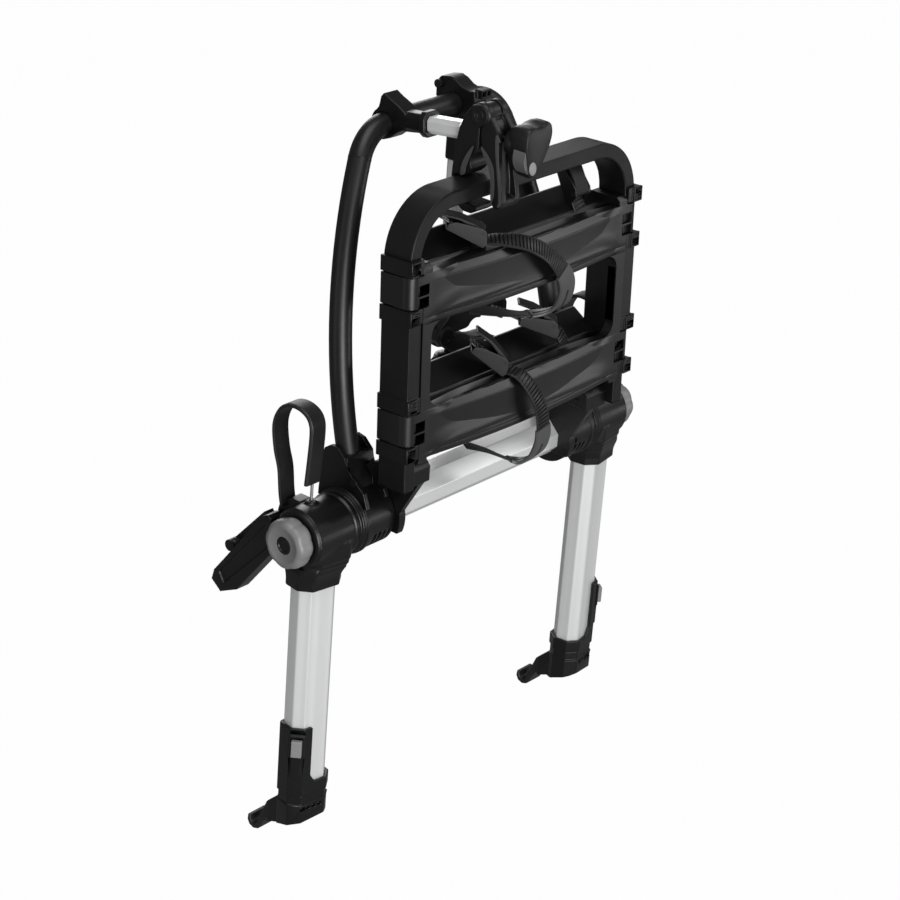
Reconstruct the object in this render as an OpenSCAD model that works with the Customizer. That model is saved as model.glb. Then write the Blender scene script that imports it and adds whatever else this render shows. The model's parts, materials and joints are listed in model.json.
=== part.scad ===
// Trunk mounted bike rack for two bicycles, stored with its wheel platform folded up.
// X runs along the main tube, +Y points at the car and +Z up.
// The origin is the middle of the line through the two lower hooks' seats.

/* [Main tube and arch] */
// Distance between the centres of the two legs
leg_spacing = 582; // [560:1:620]
// Height of the main tube's axis above the hook seats
tube_height = 464; // [440:1:500]
// How far the hook seats lie behind the main tube's axis
seat_setback = 66; // [60:1:80]
// Depth of the main tube, front to back
tube_depth = 60; // [56:1:62]
// Height of the main tube
tube_tall = 52; // [48:1:56]
// Chamfer along the main tube's four long edges
tube_chamfer = 17; // [12:1:19]
// Wall of the main tube
tube_wall = 3.5; // [2.5:0.1:5]
// Outer diameter of the arch tube
arch_dia = 30; // [26:1:32]
// Wall of the arch tube
arch_wall = 2.5; // [2:0.1:4]
// How far the arch leans back to the car, in degrees
arch_lean = 11.5; // [8:0.5:14]
// Distance from the main tube's axis to the arch's top run, along the arch
arch_top = 490; // [470:1:520]
// Widest distance between the arch's two legs, centre to centre
arch_span = 429; // [420:1:434]
// Radius of the arch's two top bends
arch_bend = 62; // [56:1:90]
// Radius of the long bow in each leg of the arch
arch_bow = 755; // [700:5:900]

/* [Hubs and legs] */
// Width of a leg, along the main tube
leg_wide = 59; // [54:1:60]
// Depth of a leg, front to back
leg_deep = 41; // [38:1:44]
// Chamfer along a leg's four long edges
leg_chamfer = 11.5; // [9:0.5:13]
// How far a leg's section is turned outward, in degrees
leg_turn = 9; // [6:1:12]
// Wall of a leg
leg_wall = 2.5; // [2:0.1:4]
// Length of a leg tube
leg_length = 350; // [330:1:400]
// Width across the flats of the hub housing
hub_across = 82; // [78:1:88]
// Diameter of the axle that a leg turns on
axle_dia = 40; // [34:1:42]
// Diameter of the round drums beside the hubs
drum_dia = 88; // [84:1:96]
// Diameter of the large end flange of a drum
flange_dia = 104; // [100:1:110]
// Width across the tension dial
dial_across = 66; // [58:1:70]
// Thickness of the tension dial
dial_thick = 26; // [20:1:32]
// Height of the collar at a leg's lower end
collar_tall = 101; // [94:1:120]
// Travel of the telescopic foot
foot_travel = 100; // [60:5:120]

/* [Platform] */
// Outer width of the loop bar
loop_wide = 452; // [450:1:454]
// Height of the loop bar's top above the main tube's axis
loop_top = 448; // [444:1:454]
// Depth of the loop bar's section, front to back
bar_deep = 46; // [42:1:47]
// Thickness of the loop bar's section
bar_thick = 20; // [18:1:21]
// Wall of the loop bar
bar_wall = 3; // [2:0.1:4]
// Outer radius of the loop bar's top bends
loop_bend = 81; // [60:1:84]
// Depth of the platform frame, front to back
frame_deep = 50; // [48:1:54]
// How far the platform leans back when it is folded up, in degrees
platform_lean = 2.7; // [1:0.1:4]
// How far the platform's front face stands before the main tube's axis
platform_front = 96; // [94:1:100]
// Width of the trays between the end plates
tray_wide = 378; // [370:1:380]
// Height of a tray's front face
tray_face = 66; // [60:1:70]
// Distance between the two trays
tray_pitch = 182; // [180:1:190]
// Depth of a tray, from its front face to its rear rims
tray_deep = 70; // [66:1:72]
// How far each tray wall flares out from front to back
tray_flare = 24; // [18:1:26]
// Wall of the trays and end plates
tray_wall = 3.5; // [3:0.1:5]
// How far a tray's front face bows out at its middle
tray_bow = 12; // [8:1:14]

/* [Frame holders and straps] */
// Width of a claw's jaws
jaw_wide = 34; // [30:1:38]
// Diameter of the claw pivot's cover discs
claw_disc = 30; // [26:1:32]
// Radius of the round bite between a claw's jaws
bite_radius = 16; // [14:0.5:17]
// Height of the heart-shaped claw knobs
knob_tall = 66; // [60:1:70]
// Width of the wheel straps
strap_wide = 24; // [22:1:26]
// Thickness of the wheel straps
strap_thick = 3; // [2.5:0.1:4]
// Width of the upper pull straps
pull_wide = 27; // [24:1:28]
// Thickness of the upper pull straps
pull_thick = 5; // [4:0.5:6]
// Diameter of the steel cables
cable_dia = 4; // [3:0.5:5]

/* [Hidden] */
$fn = 48;

// Running clearance of round pins in their bores, and of sliding tubes
run_gap = 0.05;
slide_gap = 0.35;
joint_gap = 0.4;

// Places along the main tube, counted out from its middle
leg_x = leg_spacing / 2;
hub_in = leg_x - 51;
hub_out = leg_x + 31;
drum_out = hub_in - joint_gap;
drum_in = drum_out - 56;
flange_in = drum_in - 12;
axle_end = hub_out - 20;
dial_shaft = 8;
tube_long = 2 * (drum_out - 5);

// The leg's ends, below the main tube's axis
leg_top = -24;
leg_bottom = leg_top - leg_length;
collar_grow = 5;

// The arch's long bows and top bends, in its own leaning plane
bow_height = 129;
bow_x = arch_span / 2 - arch_bow;
bend_x = bow_x + sqrt(pow(arch_bow - arch_bend, 2) - pow(arch_top - arch_bend - bow_height, 2));
bow_turn = acos((bend_x - bow_x) / (arch_bow - arch_bend));
bow_low = 5;

// The platform
loop_mid_y = -platform_front + 4.5 + bar_deep / 2;
bar_out = loop_wide / 2;
bar_in = bar_out - bar_thick;
plate_out = bar_out + 4.5;
plate_in = tray_wide / 2;
tray_low = 107;
tray_levels = [tray_low + tray_pitch, tray_low];
fold_y = -62;
fold_z = 82;
fold_pin = 6;
loop_foot = 66;
pin_end = bar_out - 3;

// Section of a box chamfered at its four corners and grown by g
function chamfered(w, d, c, g = 0) = let (a = w / 2 + g, b = d / 2 + g, k = c + 0.586 * g)
    [[-a, -b + k], [-a + k, -b], [a - k, -b], [a, -b + k],
     [a, b - k], [a - k, b], [-a + k, b], [-a, b - k]];

function unit(v) = v / norm(v);

// A smooth curve through chosen points, with n steps between neighbours
function spline_at(a, b, c, d, t) = 0.5 * ((2 * b) + (c - a) * t + (2 * a - 5 * b + 4 * c - d) * t * t
    + (3 * b - a - 3 * c + d) * t * t * t);
function smooth_path(p, n) = [for (i = [0 : len(p) - 2], s = [0 : n - 1])
    spline_at(p[max(i - 1, 0)], p[i], p[i + 1], p[min(i + 2, len(p) - 1)], s / n), p[len(p) - 1]];

module at_tube() {
    translate([0, -seat_setback, tube_height])
    children();
}

// The arch and its brackets lean back about the main tube's axis
module at_arch() {
    at_tube()
    rotate([-arch_lean, 0, 0])
    children();
}

// The platform leans back about its fold pins
module at_platform() {
    at_tube()
    translate([0, fold_y, fold_z])
    rotate([-platform_lean, 0, 0])
    translate([0, -fold_y, -fold_z])
    children();
}

// Right-hand pieces are drawn as they are and left-hand ones as their mirror image
module handed(side) {
    if (side > 0) {
        children();
    } else {
        mirror([1, 0, 0]) children();
    }
}

// A flat strap that follows a path of points, its outer face away from the line through a centre
module ribbon(path, width, thick, centre) {
    last = len(path) - 1;
    points = [for (i = [0 : last]) let (
            along = unit(path[min(i + 1, last)] - path[max(i - 1, 0)]),
            away = [0, path[i][1] - centre[0], path[i][2] - centre[1]],
            side = unit(cross(along, away)),
            out = cross(side, along),
            p = path[i], s = side * width / 2, o = out * thick / 2)
        each [p - s - o, p + s - o, p + s + o, p - s + o]];
    walls = [for (i = [0 : last - 1], j = [0 : 3]) let (k = (j + 1) % 4)
        each [[4 * i + j, 4 * i + k, 4 * i + 4 + k], [4 * i + j, 4 * i + 4 + k, 4 * i + 4 + j]]];
    e = 4 * last;
    ends = [[3, 2, 1], [3, 1, 0], [e, e + 1, e + 2], [e, e + 2, e + 3]];
    polyhedron(points, concat(walls, ends));
}

// A side view drawn in the YZ plane and made solid from x0 to x1
module side_view(x0, x1, points) {
    translate([x0, 0, 0])
    rotate([90, 0, 90])
    linear_extrude(x1 - x0)
    polygon(points);
}

module x_rod(x0, x1, r) {
    translate([x0, 0, 0])
    rotate([0, 90, 0])
    cylinder(r = r, h = x1 - x0);
}

module block(low, high) {
    translate(low) cube(high - low);
}

// Main tube and arch

module tube_section(x0, x1, g = 0) {
    side_view(x0, x1, chamfered(tube_depth, tube_tall, tube_chamfer, g));
}

module main_tube() {
    color("silver")
    at_tube()
    difference() {
        tube_section(-tube_long / 2, tube_long / 2);
        tube_section(-tube_long / 2 - 1, tube_long / 2 + 1, -tube_wall);
    }
}

// A bend of the arch about a centre, from one angle up to another
module arch_arc(x, z, bend, r, from, to) {
    translate([x, 0, z])
    rotate([90, 0, 0])
    rotate([0, 0, from])
    rotate_extrude(angle = to - from, $fn = 144)
    translate([bend, 0]) circle(r, $fn = 32);
}

// The long bow in each leg of the arch, drawn in the XZ plane
module arch_leg(r) {
    arch_arc(bow_x, bow_height, arch_bow, r, -bow_low, bow_turn - 0.04);
}

// The arch's bends and straight run meet inside short weld beads
weld_gap = 0.5;
weld_rise = 0.2;

module arch_pieces(r) {
    gap_turn = weld_gap / arch_bend * 57.3;
    for (side = [-1, 1]) handed(side) {
        arch_leg(r);
        arch_arc(bend_x, arch_top - arch_bend, arch_bend, r, bow_turn + gap_turn, 90 - gap_turn);
        translate([bow_x + arch_bow * cos(bow_turn), 0, bow_height + arch_bow * sin(bow_turn)])
        rotate([0, -bow_turn, 0])
        translate([0, 0, -1.5]) cylinder(r = r + weld_rise, h = 3);
        translate([0, 0, arch_top]) x_rod(bend_x - 1.5, bend_x + 1.5, r + weld_rise);
    }
    translate([0, 0, arch_top]) x_rod(weld_gap - bend_x, bend_x - weld_gap, r);
}

// The arch's hollow, a little tighter in the bends
module arch_core(r) {
    lap = 1 / arch_bend * 57.3;
    for (side = [-1, 1]) handed(side) {
        arch_arc(bow_x, bow_height, arch_bow, r, -bow_low - 1, bow_turn);
        arch_arc(bend_x, arch_top - arch_bend, arch_bend, r - weld_rise, bow_turn - lap, 90 + lap);
    }
    translate([0, 0, arch_top]) x_rod(-bend_x, bend_x, r);
}

module arch_tube() {
    color("dimgray")
    at_arch()
    difference() {
        arch_pieces(arch_dia / 2);
        arch_core(arch_dia / 2 - arch_wall);
    }
}

cheek_out = drum_out - 3;
cheek_in = drum_in + 2;
cheek_thick = 7;

// The drum on the main tube's end, the leg's axle and the cheeks that hold the arch's foot
module arch_bracket(side) {
    color("#202020")
    at_arch() handed(side)
    difference() {
        union() {
            x_rod(drum_in, drum_out, drum_dia / 2);
            x_rod(cheek_out - cheek_thick, cheek_out, drum_dia / 2 + 2);
            x_rod(drum_out - 5, axle_end, axle_dia / 2);
            side_view(cheek_out - cheek_thick, cheek_out, [[-46, 20], [-42, 42], [-24, 62], [-13, 88],
                [-6, 98], [8, 101], [19, 96], [26, 84], [40, 30]]);
            side_view(cheek_in, cheek_in + cheek_thick, [[-40, 24], [-30, 52], [-20, 70], [-17, 88],
                [-8, 100], [4, 105], [14, 100], [20, 84], [36, 30]]);
            block([cheek_in, -19, 20], [cheek_out - 1, 19, 86]);
        }
        rotate([arch_lean, 0, 0]) tube_section(drum_in - 1, tube_long / 2);
        arch_leg(arch_dia / 2 + 0.05);
        drum_grooves();
        x_rod(tube_long / 2 + 8, axle_end + 1, axle_dia / 2 - 7);
    }
}

// Grooves that leave fins round the drum's lower half
module drum_grooves() {
    for (i = [0 : 3]) {
        difference() {
            x_rod(drum_in + 5 + i * 9, drum_in + 9 + i * 9, drum_dia / 2 + 1);
            x_rod(drum_in, drum_out, drum_dia / 2 - 5);
            block([drum_in, -60, -18], [drum_out, 60, 60]);
        }
    }
}

module arch_bracket_left() { arch_bracket(-1); }
module arch_bracket_right() { arch_bracket(1); }

cover_out = bar_in - joint_gap;
wing_in = plate_in + 0.6;

// The block that carries the platform's fold pin, with its flange on the main tube
module fold_bracket(side) {
    color("#1c1c1c")
    at_tube() handed(side)
    difference() {
        union() {
            side_view(163, cover_out, [[-80, 63], [-80, 84], [-74, 91], [-60, 95], [-52, 92], [-48, 84],
                [-48, 66]]);
            side_view(wing_in, cover_out, [[-56, 92], [-46, 92], [-34, 88], [-16, 79], [0, 68], [0, 62],
                [-18, 72], [-34, 79], [-46, 80], [-56, 76]]);
            side_view(flange_in, drum_in - joint_gap, [[-79, 63], [-79, 84], [-60, 94], [-50, 92], [-46, 80],
                [-20, 66], [0, 60], [0, 40], [-50, 10]]);
            x_rod(flange_in, drum_in - joint_gap, flange_dia / 2);
            for (x = [wing_in, (wing_in + cover_out - 3) / 2, cover_out - 3]) {
                side_view(x, x + 3, [[-58, 66], [-56, 88], [-34, 84], [-8, 70], [-10, 54], [-36, 46]]);
            }
        }
        // Clear of the cheeks that hold the arch's foot
        rotate([-arch_lean, 0, 0])
        side_view(cheek_in - joint_gap, cover_out + 1, [[-47.4, 20], [-43.4, 43], [-30, 56], [-20.6, 71],
            [-18, 120], [60, 120], [60, 20]]);
        tube_section(flange_in - 1, drum_in + 1, 0);
        x_rod(drum_in - joint_gap + 0.1, cover_out + 1, drum_dia / 2 + 6);
        translate([0, fold_y, fold_z]) x_rod(100, 240, fold_pin);
        block([flange_in - 1, -flange_dia, -flange_dia], [drum_in + 1, flange_dia, -20]);
        block([flange_in - 1, 0, 34], [drum_in + 1, flange_dia, flange_dia]);
    }
}

module fold_bracket_left() { fold_bracket(-1); }
module fold_bracket_right() { fold_bracket(1); }

// The clamps stand on the arch's top run and stay level
arch_run_y = arch_top * sin(arch_lean);
arch_run_z = arch_top * cos(arch_lean);
clamp_x = [-79, 58];
clamp_wide = 26;
left_clamp = [[16, -10], [18, 4], [13, 15], [8, 21], [7, 34], [2, 40], [-2, 38], [-10, 34], [-23, 29],
    [-36, 22], [-36, 0], [-24, -7], [-12, -17], [0, -22], [10, -18]];
right_clamp = [[14, -14], [22, -6], [31, 4], [31, 24], [24, 32], [8, 35], [-2, 32], [-12, 26], [-24, 23],
    [-34, 24], [-36, 10], [-26, -5], [-12, -17], [0, -22], [8, -20]];

module clamp_saddle(x, points) {
    difference() {
        translate([x, arch_run_y, arch_run_z]) {
            side_view(-clamp_wide / 2, clamp_wide / 2, points);
            x_rod(-clamp_wide / 2, clamp_wide / 2, arch_dia / 2 + 5);
        }
        // Wide enough for the tube's bend, which begins inside the left clamp
        translate([0, arch_run_y, arch_run_z]) x_rod(x - clamp_wide, x + clamp_wide, arch_dia / 2 + 0.6);
    }
}

arm_rise = 7;
arm_wide = 24;
arm_tall = 22;
arm_front = [-79, 62, 491];
cuff_long = 36;

module arm_section(h, g = 0) {
    linear_extrude(h)
    polygon(chamfered(arm_wide, arm_tall, 5, g));
}

// A piece drawn along +Z is laid along the front arm, d millimetres out of its clamp
module along_front_arm(d) {
    translate(arm_front)
    rotate([90 - arm_rise, 0, 0])
    translate([0, 0, d])
    children();
}

module arch_clamp_left() {
    color("#202020")
    at_tube()
    union() {
        clamp_saddle(clamp_x[0], left_clamp);
        along_front_arm(-8) arm_section(cuff_long - 2, 1.5);
        along_front_arm(cuff_long - 10) arm_section(10, 5.5);
    }
}

rear_arm = [62, arch_run_y];
rear_cuff_top = 434;
rear_cuff_low = 402;
swivel_r = 9;

module arch_clamp_right() {
    color("#202020")
    at_tube()
    difference() {
        union() {
            clamp_saddle(clamp_x[1], right_clamp);
            translate([rear_arm[0], rear_arm[1], rear_cuff_low]) {
                linear_extrude(rear_cuff_top - rear_cuff_low) polygon(chamfered(30, 28, 6));
                linear_extrude(arch_run_z - 16 - rear_cuff_low) polygon(chamfered(24, 22, 5));
            }
            translate([clamp_x[1] - 6, arch_run_y - 42, arch_run_z + 14]) cube([20, 12, 12]);
        }
        translate([rear_arm[0], rear_arm[1], rear_cuff_low - 1]) cylinder(r = swivel_r + run_gap, h = 34);
        for (i = [0, 1]) {
            translate([clamp_x[1] - 4 + i * 9, arch_run_y - 43, arch_run_z + 17]) cube([7, 8, 6]);
        }
    }
}

// Screws and pins that stay with the main frame
module fasteners() {
    color("gray")
    at_tube() {
        for (side = [-1, 1]) handed(side) {
            translate([0, fold_y, fold_z]) x_rod(164, pin_end, fold_pin);
            rotate([-arch_lean, 0, 0]) translate([0, -28, 55]) x_rod(cheek_out, cheek_out + 2.5, 5);
        }
        translate([0, arch_run_y + 24, arch_run_z + 22])
        x_rod(clamp_x[1] - clamp_wide / 2 - 6, clamp_x[1] - clamp_wide / 2, 6);
    }
}

// Hubs and legs

module hub_octagon(x0, x1, across) {
    side_view(x0, x1, chamfered(across, across, across * 0.2929));
}

// The leg's chamfered section grown by g and turned a little outward
module leg_shape(z0, z1, g = 0) {
    translate([leg_x - 2, -3, z0])
    rotate([0, 0, leg_turn])
    linear_extrude(z1 - z0)
    polygon(chamfered(leg_wide, leg_deep, leg_chamfer, g));
}

hub_wall = 7;
socket_low = -69;
hook_pin = 5;
hook_y = 50;
hook_z = 8;
hook_in = leg_x + 7;
hook_wide = 24;
pull_front_y = 6;

module hub_housing(side) {
    color("#181818")
    at_tube() handed(side)
    difference() {
        union() {
            hub_octagon(hub_in + 9, hub_out, hub_across);
            x_rod(hub_in, hub_in + 4, drum_dia / 2 + 1);
            x_rod(hub_in + 4, hub_in + 9, drum_dia / 2 - 3);
            leg_shape(socket_low, 0, hub_wall);
            side_view(leg_x - 16, hook_in - joint_gap, [[20, -10], [20, 38], [38, 38], [56, 22], [60, 6],
                [52, -6], [40, -14]]);
            translate([leg_x, pull_front_y, hub_across / 2 - 3]) cylinder(r = 9, h = 5.5);
            block([leg_x - 5, pull_front_y, hub_across / 2 - 2],
                [leg_x + 5, pull_front_y + 26, hub_across / 2 + 2]);
        }
        x_rod(hub_in - 1, axle_end + 1, axle_dia / 2 + run_gap);
        x_rod(axle_end, hub_out + 1, dial_shaft + run_gap);
        x_rod(hub_out, hub_out + 20, dial_across * 0.52 + 1);
        leg_shape(socket_low - 1, leg_top);
        hook_pivot(leg_x - 20, hook_in + 1, hook_pin + run_gap);
        translate([leg_x, pull_front_y, axle_dia / 2 + 1]) cylinder(r = cable_dia / 2 + 0.3, h = 60);
    }
}

module hook_pivot(x0, x1, r) {
    translate([0, hook_y, hook_z]) x_rod(x0, x1, r);
}

module hub_housing_left() { hub_housing(-1); }
module hub_housing_right() { hub_housing(1); }

module leg_tube(side) {
    color("silver")
    at_tube() handed(side)
    difference() {
        leg_shape(leg_bottom, leg_top);
        leg_shape(leg_bottom - 1, leg_top + 1, -leg_wall);
    }
}

module leg_tube_left() { leg_tube(-1); }
module leg_tube_right() { leg_tube(1); }

// The dial that winds in the hook, a rounded octagon with a shaft into the hub
module tension_dial(side) {
    color("gray")
    at_tube() handed(side)
    difference() {
        union() {
            intersection() {
                hub_octagon(hub_out + joint_gap, hub_out + dial_thick, dial_across);
                x_rod(hub_out, hub_out + dial_thick + 1, dial_across * 0.52);
            }
            x_rod(axle_end + 1, hub_out + 1, dial_shaft);
        }
        x_rod(hub_out + dial_thick - 3, hub_out + dial_thick + 1, 9);
    }
}

module tension_dial_left() { tension_dial(-1); }
module tension_dial_right() { tension_dial(1); }

button_z = leg_bottom + 63;
button_wide = 14;
button_tall = 24;
button_travel = 3.5;
ring_tall = 16;

// Turns a piece drawn along +X onto the leg's outer front chamfer
module on_chamfer(z) {
    translate([leg_x - 2, -3, z])
    rotate([0, 0, leg_turn - 45])
    translate([(leg_wide + leg_deep - leg_chamfer) * 0.7071 / 2 - leg_chamfer * 0.3536,
        (leg_wide - leg_deep) * 0.3536, 0])
    children();
}

// The collar on the leg's lower end: a low ring with a tall tongue on the outer front corner
module leg_collar(side) {
    color("#1c1c1c")
    at_tube() handed(side)
    difference() {
        union() {
            leg_shape(leg_bottom - 2, leg_bottom + ring_tall, collar_grow);
            intersection() {
                leg_shape(leg_bottom + 5, leg_bottom + collar_tall, collar_grow);
                translate([leg_x, 16, leg_bottom])
                rotate([90, 0, 0])
                linear_extrude(76)
                polygon([[0, 5], [1, ring_tall], [9, ring_tall + 12], [9, collar_tall], [60, collar_tall],
                    [60, 5]]);
            }
            on_chamfer(button_z) translate([0, -button_wide / 2 - 3, -4]) cube([8, button_wide + 6, 33]);
            on_chamfer(leg_bottom + 28) translate([0, -7, 0]) cube([8, 14, 33]);
        }
        leg_shape(leg_bottom, leg_bottom + collar_tall + 1);
        leg_shape(leg_bottom - 3, leg_bottom + 1, -leg_wall);
        on_chamfer(button_z) translate([1, -button_wide / 2 - 0.2, -0.2])
        cube([20, button_wide + 0.4, button_tall + 0.4]);
    }
}

module release_button(side) {
    color("gray")
    at_tube() handed(side)
    on_chamfer(button_z)
    translate([1.5 + button_travel, -button_wide / 2, 0])
    cube([14 - 1.5 - button_travel, button_wide, button_tall]);
}

module leg_collar_left() { leg_collar(-1); }
module leg_collar_right() { leg_collar(1); }
module release_button_left() { release_button(-1); }
module release_button_right() { release_button(1); }

foot_top = leg_bottom - 2 - joint_gap;
extension_length = foot_travel + 120;

module extension_tube(side) {
    color("silver")
    at_tube() handed(side)
    difference() {
        leg_shape(foot_top, foot_top + extension_length, -leg_wall - slide_gap);
        leg_shape(foot_top - 1, foot_top + extension_length + 1, -leg_wall - slide_gap - 2.5);
    }
}

module extension_tube_left() { extension_tube(-1); }
module extension_tube_right() { extension_tube(1); }

hook_seat_y = seat_setback;
hook_seat_z = -tube_height;
toe_y = hook_seat_y - 28;

// The foot under the collar, with the toe that carries its hook
module foot(side) {
    color("#1c1c1c")
    at_tube() handed(side)
    difference() {
        union() {
            leg_shape(foot_top - 15, foot_top, collar_grow - 2);
            intersection() {
                leg_shape(foot_top - 60, foot_top - 14, collar_grow - 1);
                side_view(leg_x - 50, leg_x + 50, [[-40, foot_top], [-40, foot_top - 30], [-24, foot_top - 41],
                    [20, foot_top - 57], [20, foot_top]]);
            }
            side_view(leg_x - 25, leg_x + 22, [[6, foot_top - 8], [6, foot_top - 51],
                [toe_y - 2, foot_top - 65], [toe_y, foot_top - 62], [toe_y, foot_top - 34],
                [18, foot_top - 16]]);
        }
        // Four slots along the front's lower edge
        translate([leg_x - 2, -3, foot_top - 23])
        rotate([0, 0, leg_turn]) {
            for (i = [0 : 3]) {
                translate([-14 + i * 9.5, -leg_deep / 2 - collar_grow, 0]) cube([6, 6, 5]);
            }
        }
    }
}

module foot_left() { foot(-1); }
module foot_right() { foot(1); }

// The coated hook whose inner corner is the seat on the tailgate's lower edge
module foot_hook(side) {
    color("#101010")
    at_tube() handed(side)
    side_view(leg_x - 19, leg_x + 15, [[toe_y + 0.2, foot_top - 34], [toe_y + 8, foot_top - 42],
        [hook_seat_y - 10, hook_seat_z + 22], [hook_seat_y - 4, hook_seat_z + 5], [hook_seat_y, hook_seat_z],
        [hook_seat_y + 5, hook_seat_z], [hook_seat_y + 8, hook_seat_z + 4], [hook_seat_y + 9, hook_seat_z + 10],
        [hook_seat_y + 13, hook_seat_z + 10], [hook_seat_y + 14, hook_seat_z + 2],
        [hook_seat_y + 10, hook_seat_z - 5], [hook_seat_y + 2, hook_seat_z - 8],
        [hook_seat_y - 7, hook_seat_z - 5], [hook_seat_y - 14, hook_seat_z + 8], [toe_y + 0.2, foot_top - 58]]);
}

module foot_hook_left() { foot_hook(-1); }
module foot_hook_right() { foot_hook(1); }

// The rubber pull strap: a tall loop over the hub
pull_low = 68;
pull_path = smooth_path([[0, pull_front_y, pull_low], [0, 3, 108], [0, 2, 138], [0, 8, 159], [0, 24, 169],
    [0, 42, 167], [0, 58, 154], [0, 66, 132], [0, 62, 100], [0, 54, 74], [0, 50, 42]], 3);

module pull_strap(side) {
    color("#262626")
    at_tube() handed(side)
    translate([leg_x, 0, 0])
    ribbon(pull_path, pull_wide, pull_thick, [34, 110]);
}

module pull_strap_left() { pull_strap(-1); }
module pull_strap_right() { pull_strap(1); }

// Steel cable from the pull strap down into the hub
module hook_cable(side) {
    color("silver")
    at_tube() handed(side)
    translate([leg_x, pull_front_y, axle_dia / 2 + 2])
    cylinder(r = cable_dia / 2, h = pull_low - axle_dia / 2 - 2.5, $fn = 16);
}

module hook_cable_left() { hook_cable(-1); }
module hook_cable_right() { hook_cable(1); }

arm_side = [[hook_y - 6, hook_z - 28], [hook_y - 5, hook_z + 4], [hook_y + 1, hook_z + 8],
    [hook_y + 10, hook_z + 4], [144, -98], [148, -113], [131, -126], [102, -112], [hook_y - 4, hook_z - 48]];

// The upper hook's plastic arm, hung on its pin at the back of the hub
module hook_arm(side) {
    color("#1a1a1a")
    at_tube() handed(side)
    union() {
        difference() {
            side_view(hook_in, hook_in + hook_wide, arm_side);
            side_view(hook_in + hook_wide - 3, hook_in + hook_wide + 1,
                [[hook_y + 4, hook_z - 6], [135, -98], [126, -112], [hook_y, hook_z - 38]]);
        }
        hook_pivot(hook_in - 20, hook_in + 1, hook_pin);
    }
}

module hook_arm_left() { hook_arm(-1); }
module hook_arm_right() { hook_arm(1); }

// The steel blade beside the arm, with its rubber-covered roll
module hook_blade(side) {
    color("gray")
    at_tube() handed(side)
    union() {
        side_view(hook_in - 16, hook_in - joint_gap / 2, [[74, -4], [80, 3], [131, -54], [124, -66]]);
        side_view(hook_in - 2, hook_in - joint_gap / 2, [[74, -4], [80, 3], [128, -64], [112, -74]]);
        translate([0, 127, -60]) x_rod(hook_in - 24, hook_in + 14, 8);
    }
}

module hook_blade_left() { hook_blade(-1); }
module hook_blade_right() { hook_blade(1); }

// Platform

module loop_outline(out, bend, top, low = loop_foot) {
    translate([-out, low]) square([2 * out, top - bend - low]);
    translate([-out + bend, low]) square([2 * (out - bend), top - low]);
    for (x = [-out + bend, out - bend]) translate([x, top - bend]) circle(bend, $fn = 96);
}

// The loop's flat shape, inset by g from the bar's outer and inner edges
module loop_band(g, low) {
    difference() {
        loop_outline(bar_out - g, loop_bend - g, loop_top - g, low);
        loop_outline(bar_in + g, loop_bend - bar_thick + g, loop_top - bar_thick + g, low - 1);
    }
}

module loop_bar() {
    color("#2a2a2a")
    at_platform()
    difference() {
        translate([0, loop_mid_y + bar_deep / 2, 0])
        rotate([90, 0, 0])
        linear_extrude(bar_deep) loop_band(0, loop_foot);
        translate([0, loop_mid_y + bar_deep / 2 - bar_wall, 0])
        rotate([90, 0, 0])
        linear_extrude(bar_deep - 2 * bar_wall) loop_band(bar_wall, loop_foot - 1);
        translate([0, fold_y, fold_z]) x_rod(-pin_end - 0.5, pin_end + 0.5, fold_pin + run_gap);
    }
}

window_wide = 20;
web_low = fold_z + 20;

// An end plate: a web beside the loop bar and a cap round it at each tray
module end_plate(side) {
    color("#161616")
    at_platform() handed(side)
    difference() {
        union() {
            side_view(plate_in, bar_in, [[-platform_front, web_low],
                [-platform_front, tray_levels[0] + tray_face + 6],
                [-platform_front + 6, tray_levels[0] + tray_face + 12],
                [-platform_front + frame_deep, tray_levels[0] + tray_face + 12],
                [-platform_front + frame_deep, web_low + 4], [-platform_front + frame_deep - 8, web_low]]);
            for (z = tray_levels) {
                difference() {
                    block([bar_in - 1, -platform_front, z + 24],
                        [plate_out, -platform_front + frame_deep, z + 65]);
                    block([bar_in, loop_mid_y - bar_deep / 2, 0], [bar_out, loop_mid_y + bar_deep / 2, 500]);
                }
            }
        }
        for (z = tray_levels, level = [0, 1]) {
            block([plate_in + 7, -platform_front - 1, z + 23 + level * 16.5],
                [plate_in + 7 + window_wide, -platform_front + 20, z + 37 + level * 16.5]);
        }
        // The web is hollow behind its front wall
        block([plate_in + tray_wall, -platform_front + 24, web_low + 6],
            [bar_in - tray_wall, -platform_front + frame_deep + 1, tray_levels[0] + tray_face + 4]);
    }
}

module end_plate_left() { end_plate(-1); }
module end_plate_right() { end_plate(1); }

clip_levels = [for (z = tray_levels) each [z + 67, z + 3]];

// The clips above and below each cap, and the long cover between them
module bar_clips(side) {
    color("#1e1e1e")
    at_platform() handed(side)
    difference() {
        union() {
            for (z = clip_levels) {
                block([bar_in + 0.5, -platform_front - 1, z],
                    [plate_out + 1, -platform_front + frame_deep, z + 20]);
                block([bar_in + 9, -platform_front - 4, z], [plate_out + 2, -platform_front, z + 20]);
            }
            block([bar_in + 0.5, -platform_front + 1, clip_levels[2] + 20],
                [plate_out - 1, -platform_front + frame_deep - 2, clip_levels[1]]);
        }
        block([bar_in, loop_mid_y - bar_deep / 2, 0], [bar_out, loop_mid_y + bar_deep / 2, 500]);
        for (z = clip_levels, i = [0 : 2]) {
            block([bar_in + 12, -platform_front - 5, z + 2.5 + i * 5.5],
                [plate_out - 1, -platform_front - 1.5, z + 6 + i * 5.5]);
        }
    }
}

module bar_clips_left() { bar_clips(-1); }
module bar_clips_right() { bar_clips(1); }

bow_r = (pow(tray_wide / 2, 2) + tray_bow * tray_bow) / (2 * tray_bow);

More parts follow.
